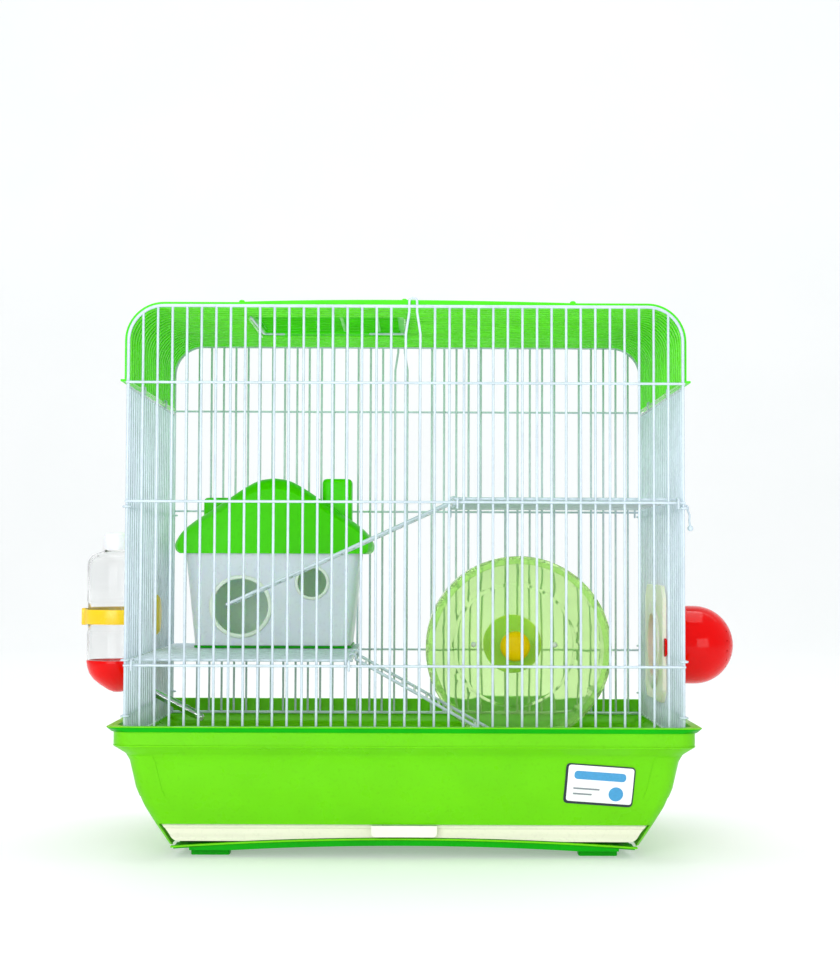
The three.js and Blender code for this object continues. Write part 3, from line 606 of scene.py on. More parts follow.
def make_drawer():
    low, high = box_mm("drawer_tray")
    floor = stand_high.z + 0.3
    front, back = low.y + 8, high.y
    centre = (0, (front + back) / 2)
    half_x, half_y = 156.5, (back - front) / 2
    sizes = ((0, floor), (0, 22.3), (1.8, 22.3), (2.2, floor + 1.8))
    bowl = loft([level(z, half_x - inset, half_y - inset, 4 - inset / 2, centre) for inset, z in sizes])
    shapes = [bowl]
    for x in stations(-140, 140, 20):
        shapes.append(block((x - 0.5, front + 3, floor + 1.6), (x + 0.5, back - 3, floor + 2.3)))
    piece("tray", together(shapes), ivory, "drawer", ["drawer_tray"], bevel=0.3)

    proud, sunk = front - 2.6, front - 0.9
    section = [
        (front + 0.6, 8), (proud, 8), (proud, 13.4), (proud + 0.5, 14.6), (sunk, 16.6), (sunk, 19.2),
        (proud + 0.2, 20.4), (proud, 21.0), (proud, 22.0), (proud + 0.5, 22.6), (front + 0.6, 22.6),
    ]
    profile = slab(section, "X", -FACIA_HALF, FACIA_HALF)
    bottom = [(x, max(crown_at(x) + 0.4, 11.0)) for x in places(-140, 140, 28)]
    right = [(140, 11), (158.6, 11), (FACIA_HALF, 24)]
    left = [(-x, z) for x, z in reversed(right)]
    outline = bottom[:-1] + fillet(right + left, 3.2, 5)[:-1]
    trapezoid = slab(outline, "Y", low.y, front + 3)
    piece("tray_front", profile, ivory, "drawer", within=trapezoid, bevel=0.4)
    grip = fillet([(-22.6, 22.4), (-22.6, 14.6), (22.6, 14.6), (22.6, 22.4)], 3.4, 5)
    hollow = rounded_block((-19, low.y + 1.6, 8), (19, front - 1.2, 20.6), 1.2, "Y")
    handle = slab(grip, "Y", low.y, front - 0.6)
    # The handle wears the lighter, painted-highlight ivory.
    piece("tray_handle", handle, lit_ivory, "drawer", cuts=[hollow], bevel=0.7)


# ---- Label ----

LABEL_WIDE, LABEL_TALL = 47.4, 28.0
LABEL_TILT = math.radians(-4)


def label_material(name, colour):
    surface = Surface(name)
    surface.colour_by(surface.noise(700, 2), scaled(colour, 0.94), scaled(colour, 1.03))
    surface.shader.inputs["Roughness"].default_value = 0.32
    surface.shader.inputs["Coat Weight"].default_value = 0.3
    surface.bumps((surface.noise(1500, 1), 0.1, 0.00005))
    return surface.material


def on_tub_front(outline, lift, thick):
    """A flat, convex outline in X and Z wrapped onto the tub's sloping front wall, in level strips."""
    corners = [z for _, z in outline]
    rings = []
    for z in sorted({*corners, *places(min(corners), max(corners), 12)}):
        crossings = []
        for (x0, z0), (x1, z1) in zip(outline, outline[1:] + outline[:1]):
            if z0 == z:
                crossings.append(x0)
            if (z0 - z) * (z1 - z) < 0:
                crossings.append(x0 + (x1 - x0) * (z - z0) / (z1 - z0))
        left, right = min(crossings), max(crossings)
        near = DEPTH_LESS - tub_half_width(z) - lift
        far = near - thick
        rings.append([(left, near, z), (right, near, z), (right, far, z), (left, far, z)])
    return loft(rings)


def make_label():
    middle_x, _, middle_z = centre_mm("label")
    # The ink colour also serves as painted shadow along the label's left and bottom edges.
    ink_and_shadow = label_material("label_ink_and_shadow", srgb(14, 18, 44))
    paper = label_material("label_paper", srgb(246, 247, 248))
    blue = label_material("label_blue", srgb(60, 150, 205))
    grey = label_material("label_grey", srgb(128, 134, 142))
    x1, z1 = LABEL_WIDE / 2, LABEL_TALL / 2
    x0, z0 = -x1, -z1
    cos, sin = math.cos(LABEL_TILT), math.sin(LABEL_TILT)

    def placed(outline):
        """The label sits slightly crooked on the tub."""
        return [(middle_x + x * cos - z * sin, middle_z + x * sin + z * cos) for x, z in outline]

    def panel(left, right, bottom, top, reach):
        corners = [(left, bottom), (right, bottom), (right, top), (left, top)]
        return placed(fillet(corners, reach, 5, True))

    def mark(name, outlines, material, lift, thick, nodes=()):
        shapes = [on_tub_front(outline, lift, thick) for outline in outlines]
        piece(name, together(shapes), material, "base", nodes, smooth=20)

    # The dark ink frame is printed. It shows wider at the left and bottom because the paper field sits off
    # centre, and that extra width is painted shadow.
    mark("label", [panel(x0, x1, z0, z1, 3.2)], ink_and_shadow, 0.05, 0.45, ["label"])
    mark("label_field", [panel(x0 + 1.7, x1 - 0.9, z0 + 1.8, z1 - 0.9, 2.2)], paper, 0.4, 0.2)
    band = panel(x0 + 6, x1 - 6, z1 - 10.6, z1 - 4.8, 2.8)
    disc = placed(arc(x1 - 12, z0 + 8.6, 5, 0, 350, 35))
    mark("label_marks", [band, disc], blue, 0.55, 0.12)
    rows = ((10.4, 24), (6.6, 19))
    lines = [panel(x0 + 6, x0 + end, z0 + rise, z0 + rise + 1.2, 0.5) for rise, end in rows]
    mark("label_lines", lines, grey, 0.55, 0.12)


# ---- Wire panels ----

def arch_height(x):
    past = max(abs(x) - (HALF_WIDTH - ROOF_RADIUS), 0)
    return ROOF_TOP - ROOF_RADIUS + math.sqrt(ROOF_RADIUS ** 2 - past ** 2)


def arch_line(z, grow=0.0, steps=12):
    """The line of the arch in X and Z, from height z at the left over the top to height z at the right."""
    radius = ROOF_RADIUS + grow
    centre_x = HALF_WIDTH - ROOF_RADIUS
    centre_z = ROOF_TOP - ROOF_RADIUS
    left = arc(-centre_x, centre_z, radius, 180, 90, steps)
    right = arc(centre_x, centre_z, radius, 90, 0, steps)
    return [(-HALF_WIDTH - grow, z), *left, *right, (HALF_WIDTH + grow, z)]


def carry_loop():
    """Two uprights that lean together and join in a small round loop above the roof."""
    middle, half = PITCH / 2, 2.7
    line = [(0, GRILLE_BOTTOM), (0, ROOF_TOP - 19), (middle - half, ROOF_TOP - 4)]
    line += arc(middle, LOOP_TOP - half, half, 180, 0, 12)
    line += [(middle + half, ROOF_TOP - 4), (PITCH, ROOF_TOP - 19), (PITCH, GRILLE_BOTTOM)]
    return line


def face_grille(outward):
    """The front (-1) or back (1) grille, with its rails and weld beads outside."""
    y = outward * HALF_DEPTH
    ends = [(-HALF_WIDTH, GRILLE_BOTTOM), (HALF_WIDTH, GRILLE_BOTTOM)]
    arch = fillet([ends[0], *arch_line(SIDE_TOP)[1:-1], ends[1]], 0.5, 1)
    shapes = [frame_wire([(x, y, z) for x, z in line]) for line in (arch, ends)]
    for x in stations(PITCH - HALF_WIDTH, HALF_WIDTH - PITCH):
        in_carry_loop = -1 < x < PITCH + 1
        if not in_carry_loop:
            shapes.append(wire([(-outward * x, y, GRILLE_BOTTOM), (-outward * x, y, arch_height(x))]))
    shapes.append(wire([(-outward * x, y, z) for x, z in carry_loop()]))
    for z in FACE_RAILS:
        rail_y = y + outward * TOUCH
        shapes.append(wire([(-HALF_WIDTH - 0.6, rail_y, z), (HALF_WIDTH + 0.6, rail_y, z)]))
        shapes += [bead((x, y + outward * WIRE, z), 1.05) for x in stations(-HALF_WIDTH, HALF_WIDTH)]
    return together(shapes)


def corner_eye(x, y, z):
    """The eye at a side rail's end, round the corner wire."""
    ring = [(x + px, y + py, z) for px, py in arc(0, 0, 2.6, 0, 340, 17)]
    return loop_wire(ring, 0.75, 8)


def roof_clip(side, y):
    """A bent tab that holds the roof's edge wire down on the side grille."""
    line = ((-1.7, SIDE_TOP - 0.4), (-2.1, ROOF_EDGE + 1.9), (0.4, ROOF_EDGE + 2.1))
    return wire(fillet([(side * (HALF_WIDTH + out), y, z) for out, z in line], 1.2), 0.75, 8)


def side_grille(side, doorway=None):
    """The left (-1) or right (1) grille."""
    x = side * HALF_WIDTH
    ends = HALF_DEPTH - PITCH
    rows = stations(-ends, ends)
    shapes = [frame_wire([(x, -SIDE_END, z), (x, SIDE_END, z)]) for z in (GRILLE_BOTTOM, SIDE_TOP)]
    for y in rows:
        heavy = abs(y) == ends or (doorway and abs(y) == doorway["half_y"])
        spans = [(GRILLE_BOTTOM, SIDE_TOP)]
        if doorway and abs(y) < doorway["half_y"]:
            spans = [(GRILLE_BOTTOM, doorway["bottom"]), (doorway["top"], SIDE_TOP)]
        shapes += [wire([(x, y, low), (x, y, high)], EDGE if heavy else WIRE) for low, high in spans]
    for z in SIDE_RAILS:
        rail_x = x + side * TOUCH
        spans = [(-SIDE_END, SIDE_END)]
        if doorway and doorway["bottom"] < z < doorway["top"]:
            spans = [(-SIDE_END, -doorway["half_y"]), (doorway["half_y"], SIDE_END)]
        for low, high in spans:
            shapes.append(wire([(rail_x, low, z), (rail_x, high, z)]))
            shapes += [bead((x + side * WIRE, y, z), 1.0) for y in rows if low <= y <= high]
        shapes += [corner_eye(x, y, z) for y in (-HALF_DEPTH, HALF_DEPTH)]
    if doorway:
        half = doorway["half_y"]
        shapes += [frame_wire([(x, -half, z), (x, half, z)]) for z in (doorway["bottom"], doorway["top"])]
    shapes += [roof_clip(side, y) for y in (-55, 55)]
    return together(shapes)


def roof_grille():
    ends = HALF_DEPTH - PITCH
    line = arch_line(ROOF_EDGE)
    half = len(line) // 2
    hole = HATCH_HOLE
    shapes = []
    for y in stations(-ends, ends):
        if y <= hole["front"] or y >= hole["back"]:
            runs = [line]
        else:
            runs = [[*line[:half], (hole["left"], ROOF_TOP)], [(hole["right"], ROOF_TOP), *line[half:]]]
        shapes += [wire([(x, y, z) for x, z in run]) for run in runs]
    for x in (-HALF_WIDTH, HALF_WIDTH):
        shapes.append(frame_wire([(x, -SIDE_END, ROOF_EDGE), (x, SIDE_END, ROOF_EDGE)]))
    for x in (hole["left"], hole["right"]):
        shapes.append(frame_wire([(x, hole["front"], ROOF_TOP), (x, hole["back"], ROOF_TOP)]))
    return together(shapes)


def hatch_springs():
    """Two bent wires under the roof, one on each side of the hatch."""
    z = ROOF_TOP - WIRE * 2
    left = [(-110.5, -76, z), (-109, 19, z), (-94, 20, z)]
    right = [(2.0, -84, z), (-1.4, 16, z), (-28, 17, z)]
    return together([wire(fillet(line, 2), 0.85) for line in (left, right)])


def make_panels():
    panels = (
        ("front", face_grille(-1)),
        ("back", face_grille(1)),
        ("left", side_grille(-1)),
        ("right", side_grille(1, DOORWAY)),
    )
    for name, shape in panels:
        piece(name + "_panel", shape, white_wire, "cage_top", [name + "_grille"])
    piece("roof_panel", roof_grille(), green_wire, "cage_top", ["roof_grille"])
    piece("hatch_springs", hatch_springs(), white_wire, "cage_top")


def shelf(node):
    low, high = box_mm(node)
    z = high.z - EDGE
    left, right = low.x + EDGE, high.x - EDGE
    reach = high.y - 0.8
    depth = 115.0
    rows = stations(-HALF_DEPTH + PITCH, HALF_DEPTH - PITCH)
    shapes = [wire([(left, y, z), (right, y, z)]) for y in rows]
    shapes += [frame_wire([(left, y, z), (right, y, z)]) for y in (-depth, depth)]
    shapes += [frame_wire([(x, -depth, z), (x, depth, z)]) for x in (left, right)]
    for x in (left + 1.6, right - 0.8):
        for side in (-1, 1):
            line = [(x, side * (depth - 1), z), (x, side * reach, z), (x, side * reach, z - 6.4)]
            shapes.append(wire(fillet(line, 1.6), 0.8, 8))
    return together(shapes)


def ladder(node, shelf_node, toward):
    """A ladder from its shelf's edge wire down to the far end of its CAD box."""
    low, high = box_mm(node)
    shelf_low, shelf_high = box_mm(shelf_node)
    top_x = (shelf_high.x if toward > 0 else shelf_low.x) - toward * EDGE
    top_z = shelf_high.z - EDGE
    end_x = high.x if toward > 0 else low.x
    slope = math.atan2(top_z - low.z - EDGE, abs(end_x - top_x) - EDGE * 0.5)
    front, back = low.y + EDGE, high.y - EDGE

    def at(along, y):
        return (top_x + toward * along * math.cos(slope), y, top_z - along * math.sin(slope))

    shapes = []
    start = math.degrees(-slope) if toward > 0 else 180 + math.degrees(slope)
    for y in (front, back):
        shapes.append(frame_wire([at(2.9, y), at(LADDER_LENGTH, y)]))
        bend = arc(top_x, top_z, 2.5, start, start + toward * 290, 14)
        shapes.append(wire([(x, y, z) for x, z in bend], 0.8, 8))
    shapes.append(frame_wire([at(LADDER_LENGTH, front), at(LADDER_LENGTH, back)]))
    shapes += [wire([at(x, front), at(x, back)]) for x in stations(PITCH, LADDER_LENGTH - 6)]
    return together(shapes)


def corner_hook():
    y = centre_mm("corner_hook")[1]
    x, z = HALF_WIDTH + 1.9, SIDE_RAILS[2]
    eye = arc(x, z, 2.3, 200, -30, 12)
    tail = [(x + 3.5, z - 4.5), (x + 3.0, z - 8), (x + 3.8, z - 12.4)]
    hook = wire([(px, y, pz) for px, pz in fillet([*eye, *tail], 1.2, 3)], 0.75, 8)
    knob = turned(arc(0, 0, 2.1, -90, 90, 8), ALONG_Z, (x + 3.8, y, z - 13.5), 16)
    return together([hook, knob])


def make_wire_fittings():
    fittings = (
        ("lower_shelf", shelf("lower_shelf"), "cage_top"),
        ("upper_shelf", shelf("upper_shelf"), "cage_top"),
        ("lower_ladder", ladder("lower_ladder", "lower_shelf", 1), "lower_ladder"),
        ("upper_ladder", ladder("upper_ladder", "upper_shelf", -1), "upper_ladder"),
    )
    for node, shape, body in fittings:
        piece(node + "_wires", shape, white_wire, body, [node])
    piece("corner_hook_wire", corner_hook(), white_wire, "hook", ["corner_hook"])


# ---- Roof cover and hatch ----

KNUCKLE_LONG = 6
COVER_KNUCKLES = (-57, 37)
HATCH_KNUCKLES = (-50, 30)


def barrel(z, y):
    """One knuckle of the hatch's hinge, from y backwards."""
    back = y + KNUCKLE_LONG
    return turned([(1.0, y), (1.7, y), (1.7, back), (1.0, back)], ALONG_Y, (0, 0, z), 24, wrap=True)


def cover_brow():
    """The crowned front edge of the cover, highest near its middle and fading out behind."""
    rings = []
    for share in places(0, 1, 24):
        x = -116 + 232 * share
        rise = 2.1 * math.sin(math.pi * share ** 0.85) ** 0.8
        line = [(0, -1), (0, rise * 0.8), (1.2, rise), (14, rise * 0.8), (38, -0.2), (38, -1)]
        rings.append([(x, cover_low.y + y, COVER_TOP + z) for y, z in line])
    return loft(rings)


def make_cover():
    bottom, lip = cover_low.z, cover_high.x
    edge = [(lip, bottom + 1.4), (lip, bottom)]
    section = [*arch_line(bottom + 1.4, 2.8, 14), *edge, *reversed(arch_line(bottom, 1.4, 14))]
    section += [(-x, z) for x, z in reversed(edge)]
    shell = slab(section, "Y", cover_low.y, cover_high.y)
    pin_z = centre_mm("hatch_pin")[2]
    raised = [
        rounded_block((-113, -78, COVER_TOP - 0.6), (-4, 71, COVER_TOP + 0.8), 6),
        rounded_block((6, -78, COVER_TOP - 0.6), (115, 71, COVER_TOP + 0.8), 6),
        cover_brow(),
    ]
    nub = [(0, -1), (2.4, -1), (1.9, 1.2), (1.1, 1.8), (0, 2)]
    for x, rise in ((-113, 0), (-1, 1.2), (115, 0)):
        raised.append(turned(nub, ALONG_Z, (x, cover_low.y + 3, COVER_TOP + rise), 20))
    cuts = [
        rounded_block((-109, -56, COVER_TOP - 8), (-5, 42, COVER_TOP + 8), 5),
        rounded_block((12, -72, COVER_TOP + 0.2), (109, 65, COVER_TOP + 8), 5),
    ]
    piece("cover", shell, cover_green, "cage_top", ["roof_cover"], cuts=cuts,
          adds=raised, bevel=0.35)
    webs = [block((-1, y, COVER_TOP - 0.5), (1, y + KNUCKLE_LONG, pin_z - 1.2)) for y in COVER_KNUCKLES]
    knuckles = [barrel(pin_z, y) for y in COVER_KNUCKLES]
    piece("cover_knuckles", together(webs + knuckles), cover_green, "cage_top",
          bevel=0.2)


def make_hatch():
    low, high = box_mm("roof_hatch")
    bottom, top = low.z, low.z + 1.3
    lid = rounded_block((low.x, low.y, bottom), (-3.4, high.y, top), 7)
    grip = rounded_block((-71, -40, top - 0.3), (-42, 24, high.z), 4)
    ribs = []
    for x in (-47.6, -21.5):
        ribs.append(rounded_block((x - 1.2, -48, bottom - 1.6), (x + 1.2, 34, bottom + 0.2), 1))
    hollow = rounded_block((-66, -36, top + 0.3), (-47, 20, top + 5), 3)
    piece("hatch_lid", lid, cover_green, "hatch", ["roof_hatch"], cuts=[hollow],
          adds=[grip, *ribs], bevel=0.35)
    strips = [wire([(-107, y, bottom - 0.7), (-7, y, bottom - 0.7)], 0.8, 8) for y in stations(-50, 30)]
    piece("hatch_strips", together(strips), cover_green, "hatch")
    pin_low, pin_high = box_mm("hatch_pin")
    pin_z = centre_mm("hatch_pin")[2]
    arms = [block((-4, y, bottom), (-1.3, y + KNUCKLE_LONG, pin_z + 0.5)) for y in HATCH_KNUCKLES]
    barrels = [barrel(pin_z, y) for y in HATCH_KNUCKLES]
    piece("hatch_hinge", together(arms + barrels), cover_green, "hatch", bevel=0.2)
    pin = [(0, pin_low.y), (0.7, pin_low.y), (0.9, pin_low.y + 0.3)]
    pin += [(0.9, pin_high.y - 0.3), (0.7, pin_high.y), (0, pin_high.y)]
    piece("hatch_hinge_pin", turned(pin, ALONG_Y, (0, 0, pin_z), 20), steel, "cage_top", ["hatch_pin"])


# ---- House ----

HOUSE_LEAN = 7.5  # the walls come in by this much at the foot
HOUSE_RIDGE = 267.5
DOOR = (-126.5, 169.0, 21.0, 23.9)  # its centre in X and Z, its radius and its rim's radius
WINDOW = (-72.0, 187.4, 10.9, 13.1)


def make_house():
    low, high = box_mm("house_body")
    centre = centre_mm("house_body")
    half_x, half_y, _ = half_mm("house_body")

    def below_eaves(z):
        """How far down the wall a height is, from 0 at the top to 1 at the bottom."""
        return (high.z - z) / (high.z - low.z)

    def at(z, inset):
        lean = HOUSE_LEAN * below_eaves(z)
        return level(z, half_x - lean - inset, half_y - lean / 4 - inset, 9, centre, 10)

    heights = places(low.z, high.z, 6)
    walls = loft([at(z, 0) for z in heights] + [at(z, 1.8) for z in reversed(heights)], wrap=True)
    cuts, rims = [], []
    for x, z, inner, outer in (DOOR, WINDOW):
        cuts.append(turned([(inner, -20), (inner, 10)], ALONG_Y, (x, low.y + 2, z), 64))
        face = low.y + HOUSE_LEAN / 4 * below_eaves(z)
        ring = fillet([(inner, -1.1), (outer, -1.1), (outer + 0.5, 0.6), (inner, 2.2)], 0.7, 3, True)
        rims.append(turned(ring, ALONG_Y, (x, face, z), 64, wrap=True))
    piece("house_walls", walls, house_grey, "house", ["house_body"], cuts=cuts, bevel=0.3)
    piece("house_rims", together(rims), rim_grey, "house")
    floor_low, floor_high = box_mm("house_floor")
    size_x, size_y, _ = half_mm("house_floor")
    plate = loft([level(z, size_x, size_y, 8.8, centre, 10) for z in (floor_low.z, floor_high.z)])
    # The house base uses the same painted-shade lime.
    piece("house_base", plate, shaded_lime, "house", ["house_floor"], bevel=0.3)


BELL = (
    (0.0, 1.0), (0.15, 0.968), (0.29, 0.876), (0.44, 0.745), (0.63, 0.575), (0.81, 0.42), (0.925, 0.29),
    (0.985, 0.17), (1.0, 0.1), (0.99, 0.04), (0.955, 0.0),
)


def smooth_line(points, steps=5):
    """A Catmull-Rom curve through points."""
    ends = [points[0], *points, points[-1]]
    made = []
    for a, b, c, d in zip(ends, ends[1:], ends[2:], ends[3:]):
        for step in range(steps):
            t = step / steps
            made.append(tuple(
                0.5 * (
                    2 * q + (r - p) * t
                    + (2 * p - 5 * q + 4 * r - s) * t ** 2
                    + (3 * q - p - 3 * r + s) * t ** 3
                )
                for p, q, r, s in zip(a, b, c, d)
            ))
    return [*made, points[-1]]


def bell(inset, drop, y, lift=0.0):
    """The bell outline of the house roof at one depth, drawn in at the sides and lowered at the top."""
    bottom = box_mm("house_roof")[0].z + lift
    centre = centre_mm("house_roof")[0]
    reach = half_mm("house_roof")[0] - inset
    tall = HOUSE_RIDGE - drop - bottom
    half = smooth_line(BELL)
    right = [(centre + reach * u, y, bottom + tall * rise) for u, rise in half]
    left = [(centre - reach * u, y, bottom + tall * rise) for u, rise in half]
    return right[::-1] + left[1:]


def chimney(x, half_x, top):
    """A square stack with a softly rounded top."""
    steps = ((226, 0), (top - 3, 0), (top - 1.4, 0.5), (top - 0.4, 1.4), (top, 2.8))
    return loft([level(z, half_x - inset, 11.5 - inset, 4.5 - inset / 2, (x, 63.5)) for z, inset in steps])


def make_house_roof():
    low, high = box_mm("house_roof")

    def ridge(steps, lift=0.0):
        """A bell-shaped body whose front and back both follow (inset, drop, depth) steps."""
        rings = [bell(inset, drop, low.y + y, lift) for inset, drop, y in steps]
        rings += [bell(inset, drop, high.y - y, lift) for inset, drop, y in reversed(steps)]
        return loft(rings)

    shell = ridge(((3.6, 9.0, 0.0), (3.0, 8.2, 0.35), (1.0, 2.6, 6.5), (0.3, 0.7, 9.5), (0.0, 0.0, 13.0)))
    hollow = ridge(((6.0, 11.5, 2.0), (3.0, 3.4, 12.0)), lift=-0.5)
    chimneys = [chimney(-54.1, 11.5, 267.9), chimney(-147, 11, 252.9)]
    piece("house_roof_shell", shell, roof_green, "house_roof", ["house_roof"],
          cuts=[hollow], adds=chimneys, smooth=40, bevel=0.8)


# ---- Wheel ----

def make_wheel():
    low, high = box_mm("wheel_drum")
    front, back = low.y, high.y
    centre_x, _, centre_z = centre_mm("wheel_drum")
    radius = half_mm("wheel_drum")[0]
    rungs = 24

    def ring(base, y, rung=0.0, wave=0.0):
        """A ring whose radius dips at each rung, and whose depth rolls in a wave."""
        made = []
        for angle in turns(rungs * 12):
            crest = max(math.cos(rungs * angle), 0.0) ** 3
            roll = math.sin(rungs * angle + base * 0.09)
            r = base - rung * crest
            made.append((r * math.cos(angle), y + wave * roll, r * math.sin(angle)))
        return made

    inside = (
        (3.5, 18, 0), (9, 18, 0), (9, 9, 0), (10.5, 5.6, 0), (14, 5, 0), (30, 5, 0), (45.5, 5, 0),
        (46.6, 5.6, 0),
        (47.8, 4.4, 0), (49, 2, 0), (53, 1.8, 0.8), (58, 1.8, 1.3), (63, 2.2, 0.9), (66.6, 3.2, 0),
        (68.1, 5, 0),
    )
    lip = ((64.2, 2.2), (64.0, 1.0), (64.4, 0.2), (69, 0), (radius, 0.8), (radius, 3), (69.6, 4.2))
    outside = (
        (69.6, 3, 0), (68.9, 0.8, 0), (67.2, 0, 0), (62, 0, 0.6), (55, 0, 1.0), (49.5, 0, 0),
        (47.5, 2.2, 0),
        (45.8, 3.2, 0), (12, 3.2, 0), (3.5, 3.2, 0),
    )
    rings = [ring(r, back - depth, wave=wave) for r, depth, wave in inside]
    for i, y in enumerate(places(back - 5, front + 3, 8)):
        rings.append(ring(68.1, y, 2.6 if 0 < i < 8 else 0.6))
    rings += [ring(r, front + depth) for r, depth in lip]
    rings += [ring(r, back - depth, wave=wave) for r, depth, wave in outside]
    shape = loft(rings, wrap=True).under(Matrix.Translation((centre_x, 0, centre_z)))
    piece("wheel", shape, wheel_clear, "wheel", ["wheel_drum"], smooth=50)
    stud = [(0, -2), (2.2, -2), (2.2, 0.4), (1.5, 1.5), (0, 1.9)]
    studs = [turned(stud, (0, -1, 0), (centre_x + x, back - 5.6, centre_z + 0.6), 20) for x in (-32, 32)]
    piece("wheel_studs", together(studs), white_cap, "wheel")


def make_wheel_mount():
    centre_x, _, centre_z = centre_mm("wheel_drum")
    centre = (centre_x, 0, centre_z)
    face = HALF_DEPTH - 1.4
    axle = [(0, 61.6), (3, 61.6), (3, 97), (4, 98), (7, 98.2), (9, 99.5), (22.6, 103.6), (23.5, 104.6)]
    base = [(23.5, 111.4), (22.8, 112.2), (15, face), (3, face), (3, 127.6), (2.4, 128), (0, 128)]
    # The bracket's yellow is painted brighter, as painted light behind the clear wheel.
    piece("wheel_bracket", turned(axle + base, ALONG_Y, centre), lit_bracket_yellow, "cage_top",
          ["wheel_stand"])
    cap = [(0, 53), (6, 53.1), (9.6, 54), (11.3, 55.6), (11.7, 57.6), (11.7, 60.8), (11.2, 61.3), (0, 61.3)]
    # The cap's yellow is painted brighter, as painted light behind the clear wheel.
    piece("wheel_axle_cap", turned(cap, ALONG_Y, centre), lit_hub_yellow, "cage_top", ["wheel_cap"])
    nut_low, nut_high = box_mm("wheel_nut")
    near, far = nut_low.y, nut_high.y

    def lobed(radius, wave, y):
        ring = []
        for a in turns(80):
            r = radius + wave * math.cos(10 * a)
            ring.append((r * math.cos(a), r * math.sin(a), y))
        return ring

    steps = ((-0.6, near), (0, near + 0.6), (0, far - 0.8), (-0.8, far))
    outer = [lobed(12.4 + grow, 0.6, y) for grow, y in steps]
    nut = loft(outer + [lobed(3.4, 0, y) for y in (far, near)], wrap=True)
    piece("wheel_lock_nut", aimed(nut, ALONG_Y, centre), yellow, "cage_top", ["wheel_nut"])


# ---- Water bottle ----

SPOUT_TILT = math.radians(28)


def make_bottle():
    low, high = box_mm("bottle_shell")
    radius = half_mm("bottle_shell")[0]
    wall = 1.5
    body = [
        (radius, low.z), (radius, 150), (radius - 0.5, 151), (radius - 0.5, 172), (radius, 173),
        (radius, 201),
        (radius - 1, 204.5), (radius - 3.2, 207.6), (14, 210), (10.8, 211.4), (10.5, 213), (10.5, high.z),
    ]
    inner = [(r - wall, min(z, high.z) - (wall if 202 < z < 213 else 0)) for r, z in reversed(body)]
    shell = turned(fillet(body, 1.5, 3) + inner, ALONG_Z, BOTTLE_AXIS, wrap=True)
    piece("bottle", shell, bottle_clear, "bottle", ["bottle_shell"], smooth=50)
    cap = [
        (0, 223), (9, 222.6), (10.9, 219.5), (10.9, 211.6), (12.2, 211.6), (12.2, 220), (11.6, 222.4),
        (9.6, 224.6),
        (6, 225), (0, 225),
    ]
    piece("bottle_cap", turned(cap, ALONG_Z, BOTTLE_AXIS), white_cap, "bottle_cap", ["bottle_top_cap"])


def make_bottle_band():
    low, high = box_mm("bottle_band")
    x, y, _ = BOTTLE_AXIS
    inner = half_mm("bottle_shell")[0] + 0.35
    outer = inner + 1.6
    ring = fillet([(inner, low.z), (outer, low.z), (outer, high.z), (inner, high.z)], 0.5, 3, True)
    band = turned(ring, ALONG_Z, BOTTLE_AXIS, 96, wrap=True)
    boss = rounded_block((low.x, y - 5, low.z - 0.8), (x - inner - 0.3, y + 5, high.z + 0.8), 1.2, "X")
    stem = rounded_block((x + inner + 0.3, y - 3.4, low.z + 1.5), (high.x, y + 3.4, high.z - 1.5), 1.2, "X")
    piece("bottle_holder", together([band, boss, stem]), yellow, "cage_top", ["bottle_band"],
          bevel=0.3)
    clamp_low, clamp_high = box_mm("bottle_clamp")
    middle = centre_mm("bottle_clamp")[2]
    half = half_mm("bottle_clamp")[2]
    outline = arc(0, 0, 1, 0, 352, 44)

    def oval(at, wide, tall):
        return [(at, y + 12 * wide * c, middle + half * tall * s) for c, s in outline]

    rings = [oval(clamp_low.x, 1, 1), oval(clamp_low.x + 1.2, 1, 1), oval(clamp_high.x, 0.72, 0.84)]
    piece("bottle_clamp_plate", loft(rings), yellow, "cage_top", ["bottle_clamp"],
          bevel=0.3)


def on_spout(profile, segments=32, wrap=False):
    """A body turned about the drinking tube's axis, from where the tube crosses the left grille."""
    direction = (math.cos(SPOUT_TILT), 0, -math.sin(SPOUT_TILT))
    return turned(profile, direction, (-HALF_WIDTH, BOTTLE_AXIS[1], 105), segments, wrap)


def make_spout():
    top = box_mm("spout_cap")[1].z
    cup = [
        (0, 104.7), (3.6, 105.0), (7.4, 106.6), (13.6, 110.6), (18.4, 114.6), (21.6, 119.2), (23.1, 124.0),
        (23.7, 128.0), (23.4, top), (22.0, top), (21.8, 125.0), (19.4, 118.6), (12.6, 112.4), (0, 107.6),
    ]
    sleeve = on_spout([(0, -24), (5.5, -24), (5.5, -10.4), (4.9, -9.6), (0, -9.5)])
    socket = on_spout([(0, -28), (3.6, -28), (3.6, -8), (0, -8)])
    piece("spout_cup", turned(cup, ALONG_Z, BOTTLE_AXIS), red, "bottle", ["spout_cap"],
          cuts=[socket], adds=[sleeve], bevel=0.3)
    tube = [(2.6, -18.6), (3.3, -18.6), (3.3, 34), (3.0, 37), (2.7, 38), (2.4, 38), (2.5, 30)]
    piece("drinking_tube", on_spout(tube, 40, wrap=True), steel, "bottle", ["spout_tube"])
    piece("drinking_ball", on_spout(arc(0, 40.2, 2.9, -90, 90, 12)), steel, "bottle", ["spout_ball"])


# ---- Tunnel port ----

